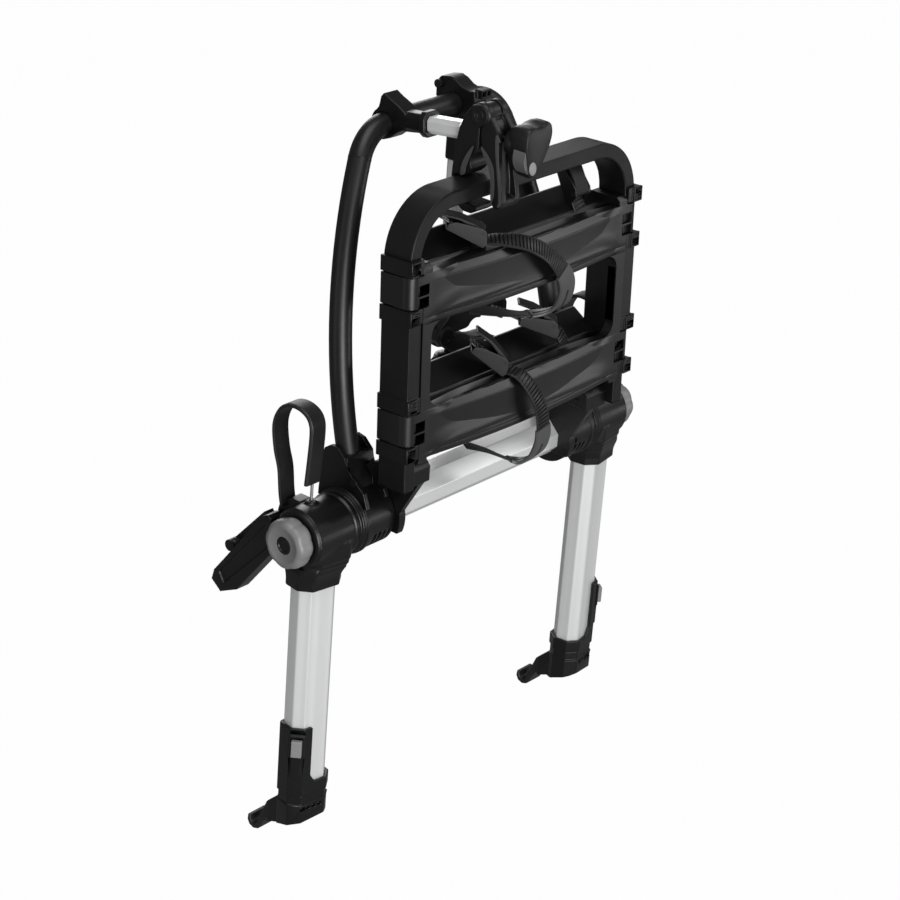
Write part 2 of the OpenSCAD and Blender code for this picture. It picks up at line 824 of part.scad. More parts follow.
// The tray's bowed front band, turned about a far vertical axis
module tray_band() {
    t = tray_face;
    w = tray_wall;
    turn = 2 * asin(tray_wide / 2 / bow_r) + 2;
    intersection() {
        translate([0, -platform_front + bow_r - tray_bow, 0])
        rotate([0, 0, -90 - turn / 2])
        rotate_extrude(angle = turn, $fn = 720)
        translate([bow_r, 0])
        polygon([[-2, 0], [0, 2], [0, 8], [-1.5, 11], [-2.5, 30], [-1, t - 12], [-1, t - 9], [-8, t], [-10, t],
            [-24, t - 7], [-24, t - 7 - w], [-9, t - 1 - w], [-w - 1, t - 10], [-w - 2.5, 30], [-w - 1, 8],
            [-w - 4, w], [-24, w], [-24, 0]]);
        block([-tray_wide / 2, -200, -50], [tray_wide / 2, 0, 200]);
    }
}

// A wheel tray: a trough that opens to the back, with flared upper and lower walls
module tray(z) {
    f = -platform_front;
    b = f + tray_deep;
    t = tray_face;
    w = tray_wall;
    translate([0, 0, z]) {
        tray_band();
        side_view(-tray_wide / 2, tray_wide / 2, [[f + 9, t - 6.7 - w], [f + 9, t - 7.3], [f + 25, t - 7.3],
            [f + 28, t + 1], [f + 32, t + 1], [b - 4, t + tray_flare], [b, t + tray_flare],
            [b, t + tray_flare - w], [b - 5, t + tray_flare - w], [f + 35, t + 1 - w], [f + 30, t - 6.7 - w]]);
        side_view(-tray_wide / 2, tray_wide / 2, [[f + 4, 0.3], [f + 4, w - 0.3], [f + 26, w - 0.3],
            [b - 4, -tray_flare + w + 2], [b, -tray_flare + w + 2], [b, -tray_flare + 2],
            [b - 5, -tray_flare + 2], [f + 25, 0.3]]);
    }
}

module tray_upper() { color("#141414") at_platform() tray(tray_levels[0]); }
module tray_lower() { color("#141414") at_platform() tray(tray_levels[1]); }

// The four buckles: where each frame's front end is, how far it is turned and how far it dips
buckles = [[[-70, -74, tray_levels[0] + 76], -47, 27], [[134, -64, tray_levels[0] + 83], -90, 66],
    [[-26, -81, tray_levels[1] + 74], -47, 38], [[94, -70, tray_levels[1] + 92], -48, 20]];
lever_pin = 3;
lever_x = -6;
lever_z = 10;
// How far each lever is pressed down, and where its tail ends
lever_rest = [13, 13, 0, 0];
lever_end = [-64, -49, -60, -60];

// A piece drawn along its strap, from the frame's rear end at -X to its front end, stands in buckle i
module at_buckle(i) {
    at_platform()
    translate(buckles[i][0])
    rotate([0, buckles[i][2], buckles[i][1]])
    children();
}

// A side view drawn in the XZ plane and made solid from y0 to y1
module long_view(y0, y1, points) {
    translate([0, y1, 0])
    rotate([90, 0, 0])
    linear_extrude(y1 - y0)
    polygon(points);
}

module y_rod(y0, y1, r) {
    translate([lever_x, y1, lever_z])
    rotate([90, 0, 0])
    cylinder(r = r, h = y1 - y0);
}

// Two side plates round the strap, joined under it
module buckle_frame() {
    half = strap_wide / 2 + 1;
    difference() {
        union() {
            for (y = [-half - 3, half]) {
                long_view(y, y + 3, [[-50, -7], [4, -7], [6, 0], [2, 8], [-2, 14], [-10, 16], [-26, 12],
                    [-42, 8], [-50, 2]]);
            }
            long_view(-half - 1, half + 1, [[-50, -7], [-16, -7], [-16, -4], [-50, -4]]);
        }
        y_rod(-half - 4, half + 4, lever_pin + run_gap);
    }
}

module buckle_frames() {
    color("#181818")
    for (i = [0 : 3]) at_buckle(i) buckle_frame();
}

// The ratchet lever over the strap
module buckle_lever(i) {
    half = strap_wide / 2 + 0.6;
    color("#3a3a3a")
    at_buckle(i) {
        translate([lever_x, 0, lever_z])
        rotate([0, -lever_rest[i], 0])
        translate([-lever_x, 0, -lever_z])
        long_view(-half, half, [[-3, 8], [-1, 11], [-4, 15], [-20, 19], [-38, 22], [lever_end[i], 21],
            [lever_end[i] - 1, 18], [-38, 18], [-22, 14], [-10, 6]]);
        y_rod(-half - 3, half + 3, lever_pin);
    }
}

module lever_upper_left() { buckle_lever(0); }
module lever_upper_right() { buckle_lever(1); }
module lever_lower_left() { buckle_lever(2); }
module lever_lower_right() { buckle_lever(3); }

// The straps' lines relative to their trays, from the tail behind the buckle to the other end
upper_left_run = [[-107, -35, 104], [-88, -55, 89.5], [-70, -74, 76], [-52, -92, 75], [-26, -111, 69],
    [6, -120, 50], [34, -121, 24], [56, -116, -4], [70, -101, -34], [71, -88, -49], [58, -72, -57],
    [36, -57, -57], [8, -37, -52], [-20, -16, -46]];
lower_left_run = [[-55, -50, 110], [-40, -66, 92], [-26, -81, 74], [-18, -104, 68], [-6, -120, 44],
    [6, -124, 14], [12, -123, -11], [20, -116, -33], [24, -104, -55], [17, -88, -69], [5, -74, -68],
    [-25, -58, -51], [-58, -48, -36]];
upper_right_run = [[134, -38, 141], [134, -51, 112], [134, -64, 83], [136, -70, 69]];
lower_right_run = [[37, -8, 122], [66, -39, 107], [94, -70, 92], [102, -77, 80], [104, -77, 70]];

module wheel_strap(z, run, centre) {
    color("#303030")
    at_platform()
    translate([0, 0, z])
    ribbon(smooth_path(run, 3), strap_wide, strap_thick, centre);
}

module strap_upper_left() { wheel_strap(tray_levels[0], upper_left_run, [-60, 20]); }
module strap_upper_right() { wheel_strap(tray_levels[0], upper_right_run, [-20, 60]); }
module strap_lower_left() { wheel_strap(tray_levels[1], lower_left_run, [-60, 10]); }
module strap_lower_right() { wheel_strap(tray_levels[1], lower_right_run, [-30, 30]); }

// Frame holders

// A claw's outlines in its own frame: the pivot at the origin and the jaws hanging down
rear_jaw_side = [[-8, 12], [-14, 2], [-4, -14], [1, -17], [1, -44], [10, -74], [20, -84], [36.5, -85],
    [36.5, -112], [30, -118.5], [-4, -118.5], [-5, -123], [5, -130], [18, -130], [34, -121], [40.5, -111],
    [40.5, -84], [39, -56], [34, -28], [26, -6], [14, 9], [0, 15]];
front_jaw_side = [[-22, -10], [-14, 0], [-6, -13], [-1, -17], [-5.5, -41], [-20, -69], [-26, -90],
    [-28, -106], [-33, -113], [-40, -112], [-43, -104], [-38, -74], [-32, -37]];
claw_front = [-79, -64, 534];
claw_rear = [44, arch_run_y, 155];
rear_arm_low = claw_rear[2] + 21;
knob_z = -27;
bite_y = -5;
bite_z = -64;

// The round bite that holds a bicycle's frame tube
module claw_bite() {
    translate([0, bite_y, bite_z]) x_rod(-jaw_wide, jaw_wide, bite_radius);
}

module claw_pivot(x0, x1, r) {
    x_rod(x0, x1, r);
}

module claw_body() {
    difference() {
        union() {
            side_view(-jaw_wide / 2, jaw_wide / 2, rear_jaw_side);
            claw_pivot(-jaw_wide / 2, jaw_wide / 2, claw_disc / 2);
        }
        // The front jaw's hub turns in this slot
        claw_pivot(-jaw_wide / 4, jaw_wide / 4, claw_disc / 2 + 1);
        side_view(-jaw_wide / 4, jaw_wide / 4, [[-20, 20], [-20, -60], [0.9, -60], [0.9, -10], [8, 12]]);
        claw_bite();
    }
    claw_pivot(-jaw_wide / 2 - 3, jaw_wide / 2 + 3, 5);
    for (x = [-jaw_wide / 2 - 3, jaw_wide / 2]) claw_pivot(x, x + 3, claw_disc / 2 - 2);
}

module claw_jaw() {
    difference() {
        union() {
            side_view(-jaw_wide / 2, jaw_wide / 2, front_jaw_side);
            claw_pivot(-jaw_wide / 4 + joint_gap, jaw_wide / 4 - joint_gap, claw_disc / 2 - 1);
        }
        claw_pivot(-jaw_wide, jaw_wide, 5 + run_gap);
        difference() {
            claw_pivot(-jaw_wide, jaw_wide, claw_disc / 2 + joint_gap);
            claw_pivot(-jaw_wide / 4 + joint_gap, jaw_wide / 4 - joint_gap, claw_disc / 2 + 1);
        }
        translate([0, 0, knob_z]) rotate([90, 0, 0]) cylinder(r = 4 + run_gap, h = 60);
        claw_bite();
    }
}

// The heart-shaped knob on its screw, which runs through the front jaw
module claw_knob() {
    translate([0, 0, knob_z])
    rotate([90, 0, 0]) {
        translate([0, 0, 12]) cylinder(r = 4, h = 28);
        translate([0, 0, 37]) cylinder(r = 20, h = 18);
        translate([0, 0, 54])
        linear_extrude(22)
        polygon(knob_tall / 66 * [[-20, 14], [-12, 24], [2, 26], [16, 29], [28, 26], [32, 14], [28, -4],
            [16, -26], [6, -36], [-2, -38], [-9, -33], [-16, -16]]);
        translate([-4, -26, 76]) cylinder(r = 7, h = 2);
    }
}

module at_front_claw() {
    at_tube()
    translate(claw_front)
    children();
}

module at_rear_claw() {
    at_tube()
    translate(claw_rear)
    rotate([90, 0, -90])
    children();
}

module holder_arm_front() {
    color("silver")
    at_tube()
    along_front_arm(cuff_long + 0.3) arm_section(54);
}

module holder_arm_rear() {
    color("silver")
    at_tube()
    translate([rear_arm[0], rear_arm[1], 0]) {
        translate([0, 0, rear_arm_low]) linear_extrude(rear_cuff_low - joint_gap - rear_arm_low)
        polygon(chamfered(arm_wide, arm_tall, 5));
        translate([0, 0, rear_cuff_low - 2]) cylinder(r = swivel_r, h = 32);
    }
}

module claw_body_front() {
    color("#2c2c2c")
    difference() {
        at_front_claw() claw_body();
        at_tube() along_front_arm(cuff_long) arm_section(54.35, 0.05);
        // The loop bar's top run lies in the claw
        at_platform()
        translate([claw_front[0], loop_mid_y, loop_top - bar_thick / 2])
        cube([2 * jaw_wide, bar_deep + 2 * joint_gap, bar_thick + 2 * joint_gap], center = true);
    }
}

module claw_body_rear() {
    color("#2c2c2c")
    difference() {
        union() {
            at_rear_claw() claw_body();
            at_tube() translate([rear_arm[0], rear_arm[1], rear_arm_low - 3]) linear_extrude(26)
            polygon(chamfered(arm_wide, arm_tall, 5, 5));
        }
        at_tube() translate([rear_arm[0], rear_arm[1], rear_arm_low]) linear_extrude(60)
        polygon(chamfered(arm_wide, arm_tall, 5, 0.05));
    }
}

module claw_jaw_front() { color("#343434") at_front_claw() claw_jaw(); }
module claw_jaw_rear() { color("#343434") at_rear_claw() claw_jaw(); }
module claw_knob_front() { color("#4a4a4a") at_front_claw() claw_knob(); }
module claw_knob_rear() { color("#4a4a4a") at_rear_claw() claw_knob(); }

main_tube();
arch_tube();
arch_bracket_left();
arch_bracket_right();
fold_bracket_left();
fold_bracket_right();
arch_clamp_left();
arch_clamp_right();
fasteners();
hub_housing_left();
hub_housing_right();
leg_tube_left();
leg_tube_right();
tension_dial_left();
tension_dial_right();
leg_collar_left();
leg_collar_right();
release_button_left();
release_button_right();
extension_tube_left();
extension_tube_right();
foot_left();
foot_right();
foot_hook_left();
foot_hook_right();
pull_strap_left();
pull_strap_right();
hook_cable_left();
hook_cable_right();
hook_arm_left();
hook_arm_right();
hook_blade_left();
hook_blade_right();
loop_bar();
end_plate_left();
end_plate_right();
bar_clips_left();
bar_clips_right();
tray_upper();
tray_lower();
buckle_frames();
strap_upper_left();
strap_upper_right();
strap_lower_left();
strap_lower_right();
lever_upper_left();
lever_upper_right();
lever_lower_left();
lever_lower_right();
holder_arm_front();
holder_arm_rear();
claw_body_front();
claw_body_rear();
claw_jaw_front();
claw_jaw_rear();
claw_knob_front();
claw_knob_rear();
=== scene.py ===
"""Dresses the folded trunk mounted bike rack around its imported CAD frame.

Lengths in the classes are millimetres, counted from the middle of the main tube's axis with X along the
tube, +Y to the car and +Z up, as the part's source counts them. The scene itself is in metres.
"""
from __future__ import annotations

import json
import logging
import math
from dataclasses import dataclass
from enum import Enum
from typing import Sequence

import bmesh
import bpy
from bmesh.types import BMEdge, BMesh, BMVert
from bpy.types import Material, Mesh, Node, NodeTree, Object, Scene
from mathutils import Matrix, Vector

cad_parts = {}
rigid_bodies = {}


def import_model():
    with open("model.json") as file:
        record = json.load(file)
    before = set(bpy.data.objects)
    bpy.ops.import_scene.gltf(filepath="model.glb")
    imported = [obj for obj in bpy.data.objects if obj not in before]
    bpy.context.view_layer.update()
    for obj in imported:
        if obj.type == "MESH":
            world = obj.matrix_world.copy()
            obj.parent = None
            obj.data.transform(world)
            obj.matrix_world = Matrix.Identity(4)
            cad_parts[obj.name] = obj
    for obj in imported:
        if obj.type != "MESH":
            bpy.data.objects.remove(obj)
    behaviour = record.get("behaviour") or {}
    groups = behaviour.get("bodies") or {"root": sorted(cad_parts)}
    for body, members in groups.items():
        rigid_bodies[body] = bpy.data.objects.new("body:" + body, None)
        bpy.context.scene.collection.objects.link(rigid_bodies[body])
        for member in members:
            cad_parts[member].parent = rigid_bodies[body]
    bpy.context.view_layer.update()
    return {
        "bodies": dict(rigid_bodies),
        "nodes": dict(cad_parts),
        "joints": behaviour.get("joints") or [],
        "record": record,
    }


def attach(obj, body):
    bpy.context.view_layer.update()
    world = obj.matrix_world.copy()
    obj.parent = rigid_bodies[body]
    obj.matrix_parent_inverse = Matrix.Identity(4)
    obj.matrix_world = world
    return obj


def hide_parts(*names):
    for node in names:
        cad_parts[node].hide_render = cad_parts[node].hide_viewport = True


LOG = logging.getLogger("bike_rack")
MM = 0.001
Point = Sequence[float]
Pair = tuple[float, float]


class Side(Enum):
    """The rack's two sides, seen from behind the car."""

    LEFT = -1
    RIGHT = 1

    @property
    def tag(self) -> str:
        """The side's name at the end of a node's name."""
        return self.name.lower()


class Slot(Enum):
    """The record's material slots."""

    BLACK_METAL = "black_coated_metal"
    ALUMINIUM = "silver_aluminium"
    BLACK_PLASTIC = "black_plastic"
    DARK_PLASTIC = "dark_grey_plastic"
    GREY_PLASTIC = "grey_plastic"
    RUBBER = "strap_rubber"
    STEEL = "bright_steel"


# Places and frames

TUBE_AXIS = (0.0, -66.0, 464.0)
FOLD_PIVOT = Vector((0.0, -62.0, 82.0))
PLATFORM_LEAN = 2.7
ARCH_LEAN = 11.5
ARCH_LENGTH = 490.0
ARCH_SETBACK = ARCH_LENGTH * math.sin(math.radians(ARCH_LEAN))
NEAR_AND_FAR = ((-1, "near"), (1, "far"))


def moved(frame: Matrix, at: Point, turn: float = 0.0, axis: str = "Z") -> Matrix:
    """Moves a frame to a point and turns it there, by degrees about one of its axes."""
    return frame @ Matrix.Translation(at) @ Matrix.Rotation(math.radians(turn), 4, axis)


TUBE_FRAME = Matrix.Scale(MM, 4) @ Matrix.Translation(TUBE_AXIS)
PLATFORM_FRAME = moved(TUBE_FRAME, FOLD_PIVOT, -PLATFORM_LEAN, "X") @ Matrix.Translation(-FOLD_PIVOT)
# Lays a prism's outline flat, so that its length runs up.
ON_END = Matrix(((0, 1, 0, 0), (0, 0, 1, 0), (1, 0, 0, 0), (0, 0, 0, 1)))


# Shader groups and finishes


def new_group(name: str, inputs: dict[str, float], outputs: Sequence[str]) -> NodeTree:
    """Starts a shader group with its sockets.

    Args:
        name: The group's name.
        inputs: Each input's name and default.
        outputs: The outputs' names.

    Returns:
        The group, with its input and output nodes in place.
    """
    group = bpy.data.node_groups.new(name, "ShaderNodeTree")
    kind = "NodeSocketFloat"
    for label, default in inputs.items():
        group.interface.new_socket(name=label, in_out="INPUT", socket_type=kind).default_value = default
    for label in outputs:
        group.interface.new_socket(name=label, in_out="OUTPUT", socket_type=kind)
    group.nodes.new("NodeGroupInput").name = "in"
    group.nodes.new("NodeGroupOutput").name = "out"
    return group


def add_node(tree: NodeTree, kind: str, **values: object) -> Node:
    """Adds a node and sets its properties and input sockets.

    Args:
        tree: The tree that gets the node.
        kind: The node's type.
        **values: Properties by name, or inputs as in_0, in_1 and so on.

    Returns:
        The new node.
    """
    node = tree.nodes.new(kind)
    for key, value in values.items():
        if key.startswith("in_"):
            node.inputs[int(key[3:])].default_value = value
        else:
            setattr(node, key, value)
    return node


def grain_group() -> None:
    """Builds the moulded grain: fine pits and a slow cloudiness in object space."""
    g = new_group("Moulded grain", {"Scale": 900.0, "Cloud": 9.0}, ("Height", "Cloudiness"))
    link = g.links.new
    where = add_node(g, "ShaderNodeTexCoord")
    for detail, scale, output in ((3.0, "Scale", "Height"), (4.0, "Cloud", "Cloudiness")):
        noise = add_node(g, "ShaderNodeTexNoise", in_3=detail)
        link(where.outputs["Object"], noise.inputs["Vector"])
        link(g.nodes["in"].outputs[scale], noise.inputs["Scale"])
        link(noise.outputs["Fac"], g.nodes["out"].inputs[output])


def drawn_group() -> None:
    """Builds the drawn lines of an aluminium extrusion, which run along one axis."""
    g = new_group("Drawn lines", {"Lines": 700.0, "Along X": 1.0, "Along Y": 1.0, "Along Z": 0.01},
                  ("Height", "Streaks"))
    link = g.links.new
    where = add_node(g, "ShaderNodeTexCoord")
    join = add_node(g, "ShaderNodeCombineXYZ")
    for axis in "XYZ":
        link(g.nodes["in"].outputs["Along " + axis], join.inputs[axis])
    stretch = add_node(g, "ShaderNodeVectorMath", operation="MULTIPLY")
    link(where.outputs["Object"], stretch.inputs[0])
    link(join.outputs[0], stretch.inputs[1])
    fine = add_node(g, "ShaderNodeTexNoise", in_3=2.0)
    wide = add_node(g, "ShaderNodeTexNoise", in_2=60.0, in_3=2.0)
    link(g.nodes["in"].outputs["Lines"], fine.inputs["Scale"])
    for noise, output in ((fine, "Height"), (wide, "Streaks")):
        link(stretch.outputs[0], noise.inputs["Vector"])
        link(noise.outputs["Fac"], g.nodes["out"].inputs[output])


@dataclass(frozen=True)
class Finish:
    """One finish: a colour with its gloss, and the grain or the drawn lines that break it up.

    Attributes:
        name: The material's name.
        slot: The record's slot that it stands for.
        colour: The linear base colour.
        roughness: The middle of the roughness range.
        spread: How far the roughness strays from the middle.
        metallic: One for bare metal.
        grain: Scale of the grain, in features per metre.
        depth: Depth of the grain's bump in millimetres.
        lines: The stretch of the drawn lines along X, Y and Z, or None for a moulded grain.
        specular: Strength of the surface's plain reflection.
    """

    name: str
    slot: Slot
    colour: tuple[float, float, float]
    roughness: float
    spread: float = 0.06
    metallic: float = 0.0
    grain: float = 1400.0
    depth: float = 0.02
    lines: tuple[float, float, float] | None = None
    specular: float = 0.5

    def build(self) -> Material:
        """Builds the material from its group and one Principled shader.

        Returns:
            The material.
        """
        material = bpy.data.materials.new(self.name)
        material.use_nodes = True
        tree = material.node_tree
        shader = tree.nodes["Principled BSDF"]
        shader.inputs["Metallic"].default_value = self.metallic
        shader.inputs["Specular IOR Level"].default_value = self.specular
        effect = add_node(tree, "ShaderNodeGroup")
        effect.node_tree = bpy.data.node_groups["Drawn lines" if self.lines else "Moulded grain"]
        effect.inputs[0].default_value = self.grain
        for axis, stretch in zip("XYZ", self.lines or ()):
            effect.inputs["Along " + axis].default_value = stretch
        tint = add_node(tree, "ShaderNodeMix", data_type="RGBA")
        for socket, share in ((6, 0.88), (7, 1.12)):
            tint.inputs[socket].default_value = [min(c * share, 1.0) for c in self.colour] + [1.0]
        rough = add_node(tree, "ShaderNodeMapRange", in_1=0.3, in_2=0.7, in_3=self.roughness - self.spread,
                         in_4=self.roughness + self.spread)
        bump = add_node(tree, "ShaderNodeBump")
        bump.inputs["Distance"].default_value = self.depth * MM
        bump.inputs["Strength"].default_value = 1.0
        link = tree.links.new
        link(effect.outputs[1], tint.inputs[0])
        link(tint.outputs[2], shader.inputs["Base Color"])
        link(effect.outputs[1], rough.inputs[0])
        link(rough.outputs[0], shader.inputs["Roughness"])
        link(effect.outputs[0], bump.inputs["Height"])
        link(bump.outputs[0], shader.inputs["Normal"])
        return material


def anodised(name: str, roughness: float, lines: tuple[float, float, float]) -> Finish:
    """Describes anodised aluminium, drawn along the axis that has the smallest stretch."""
    return Finish(name, Slot.ALUMINIUM, (0.8, 0.805, 0.81), roughness, metallic=0.45, grain=1500.0,
                  depth=0.006, lines=lines)


FINISHES = {
    "coated": Finish("powder coated tube", Slot.BLACK_METAL, (0.006, 0.006, 0.0062), 0.4, grain=2200.0,
                     depth=0.05, specular=0.4),
    "bar": Finish("powder coated bar", Slot.BLACK_METAL, (0.0042, 0.0042, 0.0044), 0.46, grain=2600.0,
                  depth=0.06, specular=0.28),
    "upright": anodised("anodised upright tube", 0.34, (1.0, 1.0, 0.006)),
    "crosswise": anodised("anodised cross tube", 0.34, (0.006, 1.0, 1.0)),
    "lengthwise": anodised("anodised arm tube", 0.32, (1.0, 0.006, 1.0)),
    "black": Finish("black moulded plastic", Slot.BLACK_PLASTIC, (0.003, 0.003, 0.0031), 0.36, specular=0.38),
    "satin": Finish("satin black moulding", Slot.BLACK_PLASTIC, (0.0024, 0.0024, 0.0025), 0.35, spread=0.02,
                    grain=1000.0, depth=0.003, specular=0.55),
    "lever": Finish("dark grey lever plastic", Slot.DARK_PLASTIC, (0.008, 0.008, 0.0082), 0.42, specular=0.3),
    "jaw": Finish("dark grey jaw plastic", Slot.DARK_PLASTIC, (0.005, 0.005, 0.0052), 0.4, specular=0.35),
    "insert": Finish("grey soft insert", Slot.DARK_PLASTIC, (0.05, 0.05, 0.051), 0.5),
    "knob": Finish("dark grey knob plastic", Slot.DARK_PLASTIC, (0.007, 0.007, 0.0072), 0.38, specular=0.35),
    "grey": Finish("mid grey plastic", Slot.DARK_PLASTIC, (0.18, 0.18, 0.184), 0.42),
    "lens": Finish("grey ribbed lens", Slot.GREY_PLASTIC, (0.09, 0.09, 0.092), 0.3),
    "pale": Finish("light grey plastic", Slot.GREY_PLASTIC, (0.22, 0.22, 0.224), 0.42),
    "rubber": Finish("matt black rubber", Slot.RUBBER, (0.007, 0.007, 0.0072), 0.5, grain=800.0, depth=0.03),
    "strap": Finish("strap elastomer", Slot.RUBBER, (0.009, 0.009, 0.0094), 0.42, grain=900.0, depth=0.01),
    "pad": Finish("grey strap pad", Slot.RUBBER, (0.062, 0.062, 0.063), 0.45, grain=900.0, depth=0.02),
    "steel": Finish("brushed steel", Slot.STEEL, (0.56, 0.56, 0.57), 0.3, metallic=1.0, grain=1800.0,
                    depth=0.008, lines=(1.0, 0.02, 1.0)),
    "dark_steel": Finish("blackened steel", Slot.STEEL, (0.02, 0.02, 0.021), 0.35, metallic=0.6),
}


class Finishes:
    """Builds the shader groups once, and each finish when it is first asked for."""

    def __init__(self) -> None:
        """Builds the two shared groups."""
        grain_group()
        drawn_group()
        self.built: dict[str, Material] = {}

    def __getitem__(self, key: str) -> Material:
        """Gives the material of a finish.

        Args:
            key: The finish's key.

        Returns:
            The material.
        """
        if key not in self.built:
            self.built[key] = FINISHES[key].build()
        return self.built[key]


# Mesh helpers


def smooth_line(points: Sequence[Point], steps: int) -> list[Vector]:
    """Runs a smooth curve through chosen points.

    Args:
        points: The points to pass through.
        steps: How many steps lie between two neighbours.

    Returns:
        The curve's points, ends included.
    """
    p = [Vector(q) for q in points]
    out: list[Vector] = []
    for i in range(len(p) - 1):
        a, b, c, d = p[max(i - 1, 0)], p[i], p[i + 1], p[min(i + 2, len(p) - 1)]
        for s in range(steps):
            t = s / steps
            out.append(0.5 * ((2 * b) + (c - a) * t + (2 * a - 5 * b + 4 * c - d) * t * t
                              + (3 * b - a - 3 * c + d) * t ** 3))
    out.append(p[-1])
    return out


def even_line(line: Sequence[Vector], pitch: float) -> list[Vector]:
    """Resamples a line at an even pitch.

    Args:
        line: The line's points.
        pitch: The wanted distance between two samples.

    Returns:
        The samples, ends included.
    """
    lengths = [0.0]
    for a, b in zip(line, line[1:]):
        lengths.append(lengths[-1] + (b - a).length)
    count = max(2, round(lengths[-1] / pitch))
    out, k = [], 0
    for i in range(count + 1):
        want = lengths[-1] * i / count
        while k < len(line) - 2 and lengths[k + 1] < want:
            k += 1
        span = lengths[k + 1] - lengths[k] or 1.0
        out.append(line[k].lerp(line[k + 1], (want - lengths[k]) / span))
    return out


def settle_normals(mesh: Mesh, angle: float) -> None:
    """Shades a mesh smooth and keeps edges over an angle, in degrees, sharp."""
    mesh.shade_smooth()
    mesh.set_sharp_from_angle(angle=math.radians(angle))


def add_object(name: str, data: bpy.types.ID) -> Object:
    """Adds an object to the scene.

    Args:
        name: The object's name.
        data: Its mesh, lamp or camera.

    Returns:
        The object.
    """
    thing = bpy.data.objects.new(name, data)
    bpy.context.scene.collection.objects.link(thing)
    return thing


def mesh_from(bm: BMesh, name: str) -> Mesh:
    """Makes a mesh from a bmesh.

    Args:
        bm: The bmesh, which is freed.
        name: The mesh's name.

    Returns:
        The mesh.
    """
    mesh = bpy.data.meshes.new(name)
    bm.to_mesh(mesh)
    bm.free()
    return mesh


def apply_modifiers(piece: Object) -> Mesh:
    """Gives a piece the mesh that its modifiers make, in place of the old one.

    Args:
        piece: The piece.

    Returns:
        Its new mesh.
    """
    graph = bpy.context.evaluated_depsgraph_get()
    mesh = bpy.data.meshes.new_from_object(piece.evaluated_get(graph), depsgraph=graph)
    piece.modifiers.clear()
    old = piece.data
    piece.data = mesh
    bpy.data.meshes.remove(old)
    return mesh


def weigh_normals(piece: Object) -> None:
    """Lets large flat faces keep their own normals beside small rounded ones.

    Args:
        piece: The piece that has them.
    """
    modifier = piece.modifiers.new("weights", "WEIGHTED_NORMAL")
    modifier.keep_sharp = True
    modifier.weight = 80
    apply_modifiers(piece)


def bevel(bm: BMesh, edges: Sequence[BMEdge], width: float, segments: int) -> None:
    """Rounds chosen edges of a mesh, by a width in the mesh's own units."""
    bmesh.ops.bevel(bm, geom=edges, offset=width, offset_type="OFFSET", segments=segments, profile=0.5,
                    affect="EDGES", clamp_overlap=False)


def bevel_edges(bm: BMesh, width: float, segments: int = 2, angle: float = 28.0) -> None:
    """Rounds the sharp edges of a mesh, apart from short ones and ones without room.

    Args:
        bm: The mesh.
        width: The bevel's width in the mesh's own units.
        segments: Steps across the bevel.
        angle: Only edges that turn by more than this are rounded, in degrees.
    """
    limit = math.radians(angle)
    shortest, across, beside = 1.5 * width, 2.05 * width, 1.05 * width

    def roomy(edge: BMEdge) -> bool:
        """Tells whether what lies beside an edge leaves room for its rounding.

        Args:
            edge: The edge.

        Returns:
            Whether there is room.
        """
        way = (edge.verts[1].co - edge.verts[0].co).normalized()
        start = edge.verts[0].co
        for face in edge.link_faces:
            offsets = [v.co - start for v in face.verts]
            if max((offset - way * offset.dot(way)).length for offset in offsets) < across:
                return False
        return all(o.calc_length() > beside for v in edge.verts for o in v.link_edges)

    edges = [e for e in bm.edges if len(e.link_faces) == 2 and e.calc_face_angle(0.0) > limit
             and e.calc_length() > shortest and roomy(e)]
    if edges:
        bevel(bm, edges, width, segments)


def add_prism(bm: BMesh, outline: Sequence[Point], low: float, high: float, place: Matrix) -> None:
    """Adds a closed prism to a mesh.

    Args:
        bm: The mesh.
        outline: The prism's corners as Y and Z.
        low: Where it starts along X.
        high: Where it ends along X.
        place: The frame that it is drawn in.
    """
    rows = [[bm.verts.new(place @ Vector((x, y, z))) for y, z in outline] for x in (low, high)]
    bm.faces.new(rows[0][::-1])
    bm.faces.new(rows[1])
    join_rows(bm, rows)


def join_rows(bm: BMesh, rows: Sequence[Sequence[BMVert]]) -> None:
    """Joins each closed row of corners to the next one with a belt of faces.

    Args:
        bm: The mesh.
        rows: The rows, all of one length.
    """
    for a, c in zip(rows, rows[1:]):
        for i in range(len(a)):
            k = (i + 1) % len(a)
            bm.faces.new((a[i], a[k], c[k], c[i]))


def ring_points(radius: float, steps: int = 48) -> list[Pair]:
    """Lists the corners of a circle."""
    turns = [2 * math.pi * i / steps for i in range(steps)]
    return [(radius * math.cos(turn), radius * math.sin(turn)) for turn in turns]


def rounded(outline: Sequence[Point], steps: int = 3) -> list[Pair]:
    """Runs a smooth closed curve through an outline's corners.

    Args:
        outline: The corners as Y and Z.
        steps: Steps between two corners.

    Returns:
        The smooth outline.
    """
    p = [Vector((y, z, 0.0)) for y, z in outline]
    line = smooth_line(p[-2:] + p + p[:3], steps)
    return [(q.x, q.y) for q in line[2 * steps:(2 + len(p)) * steps]]


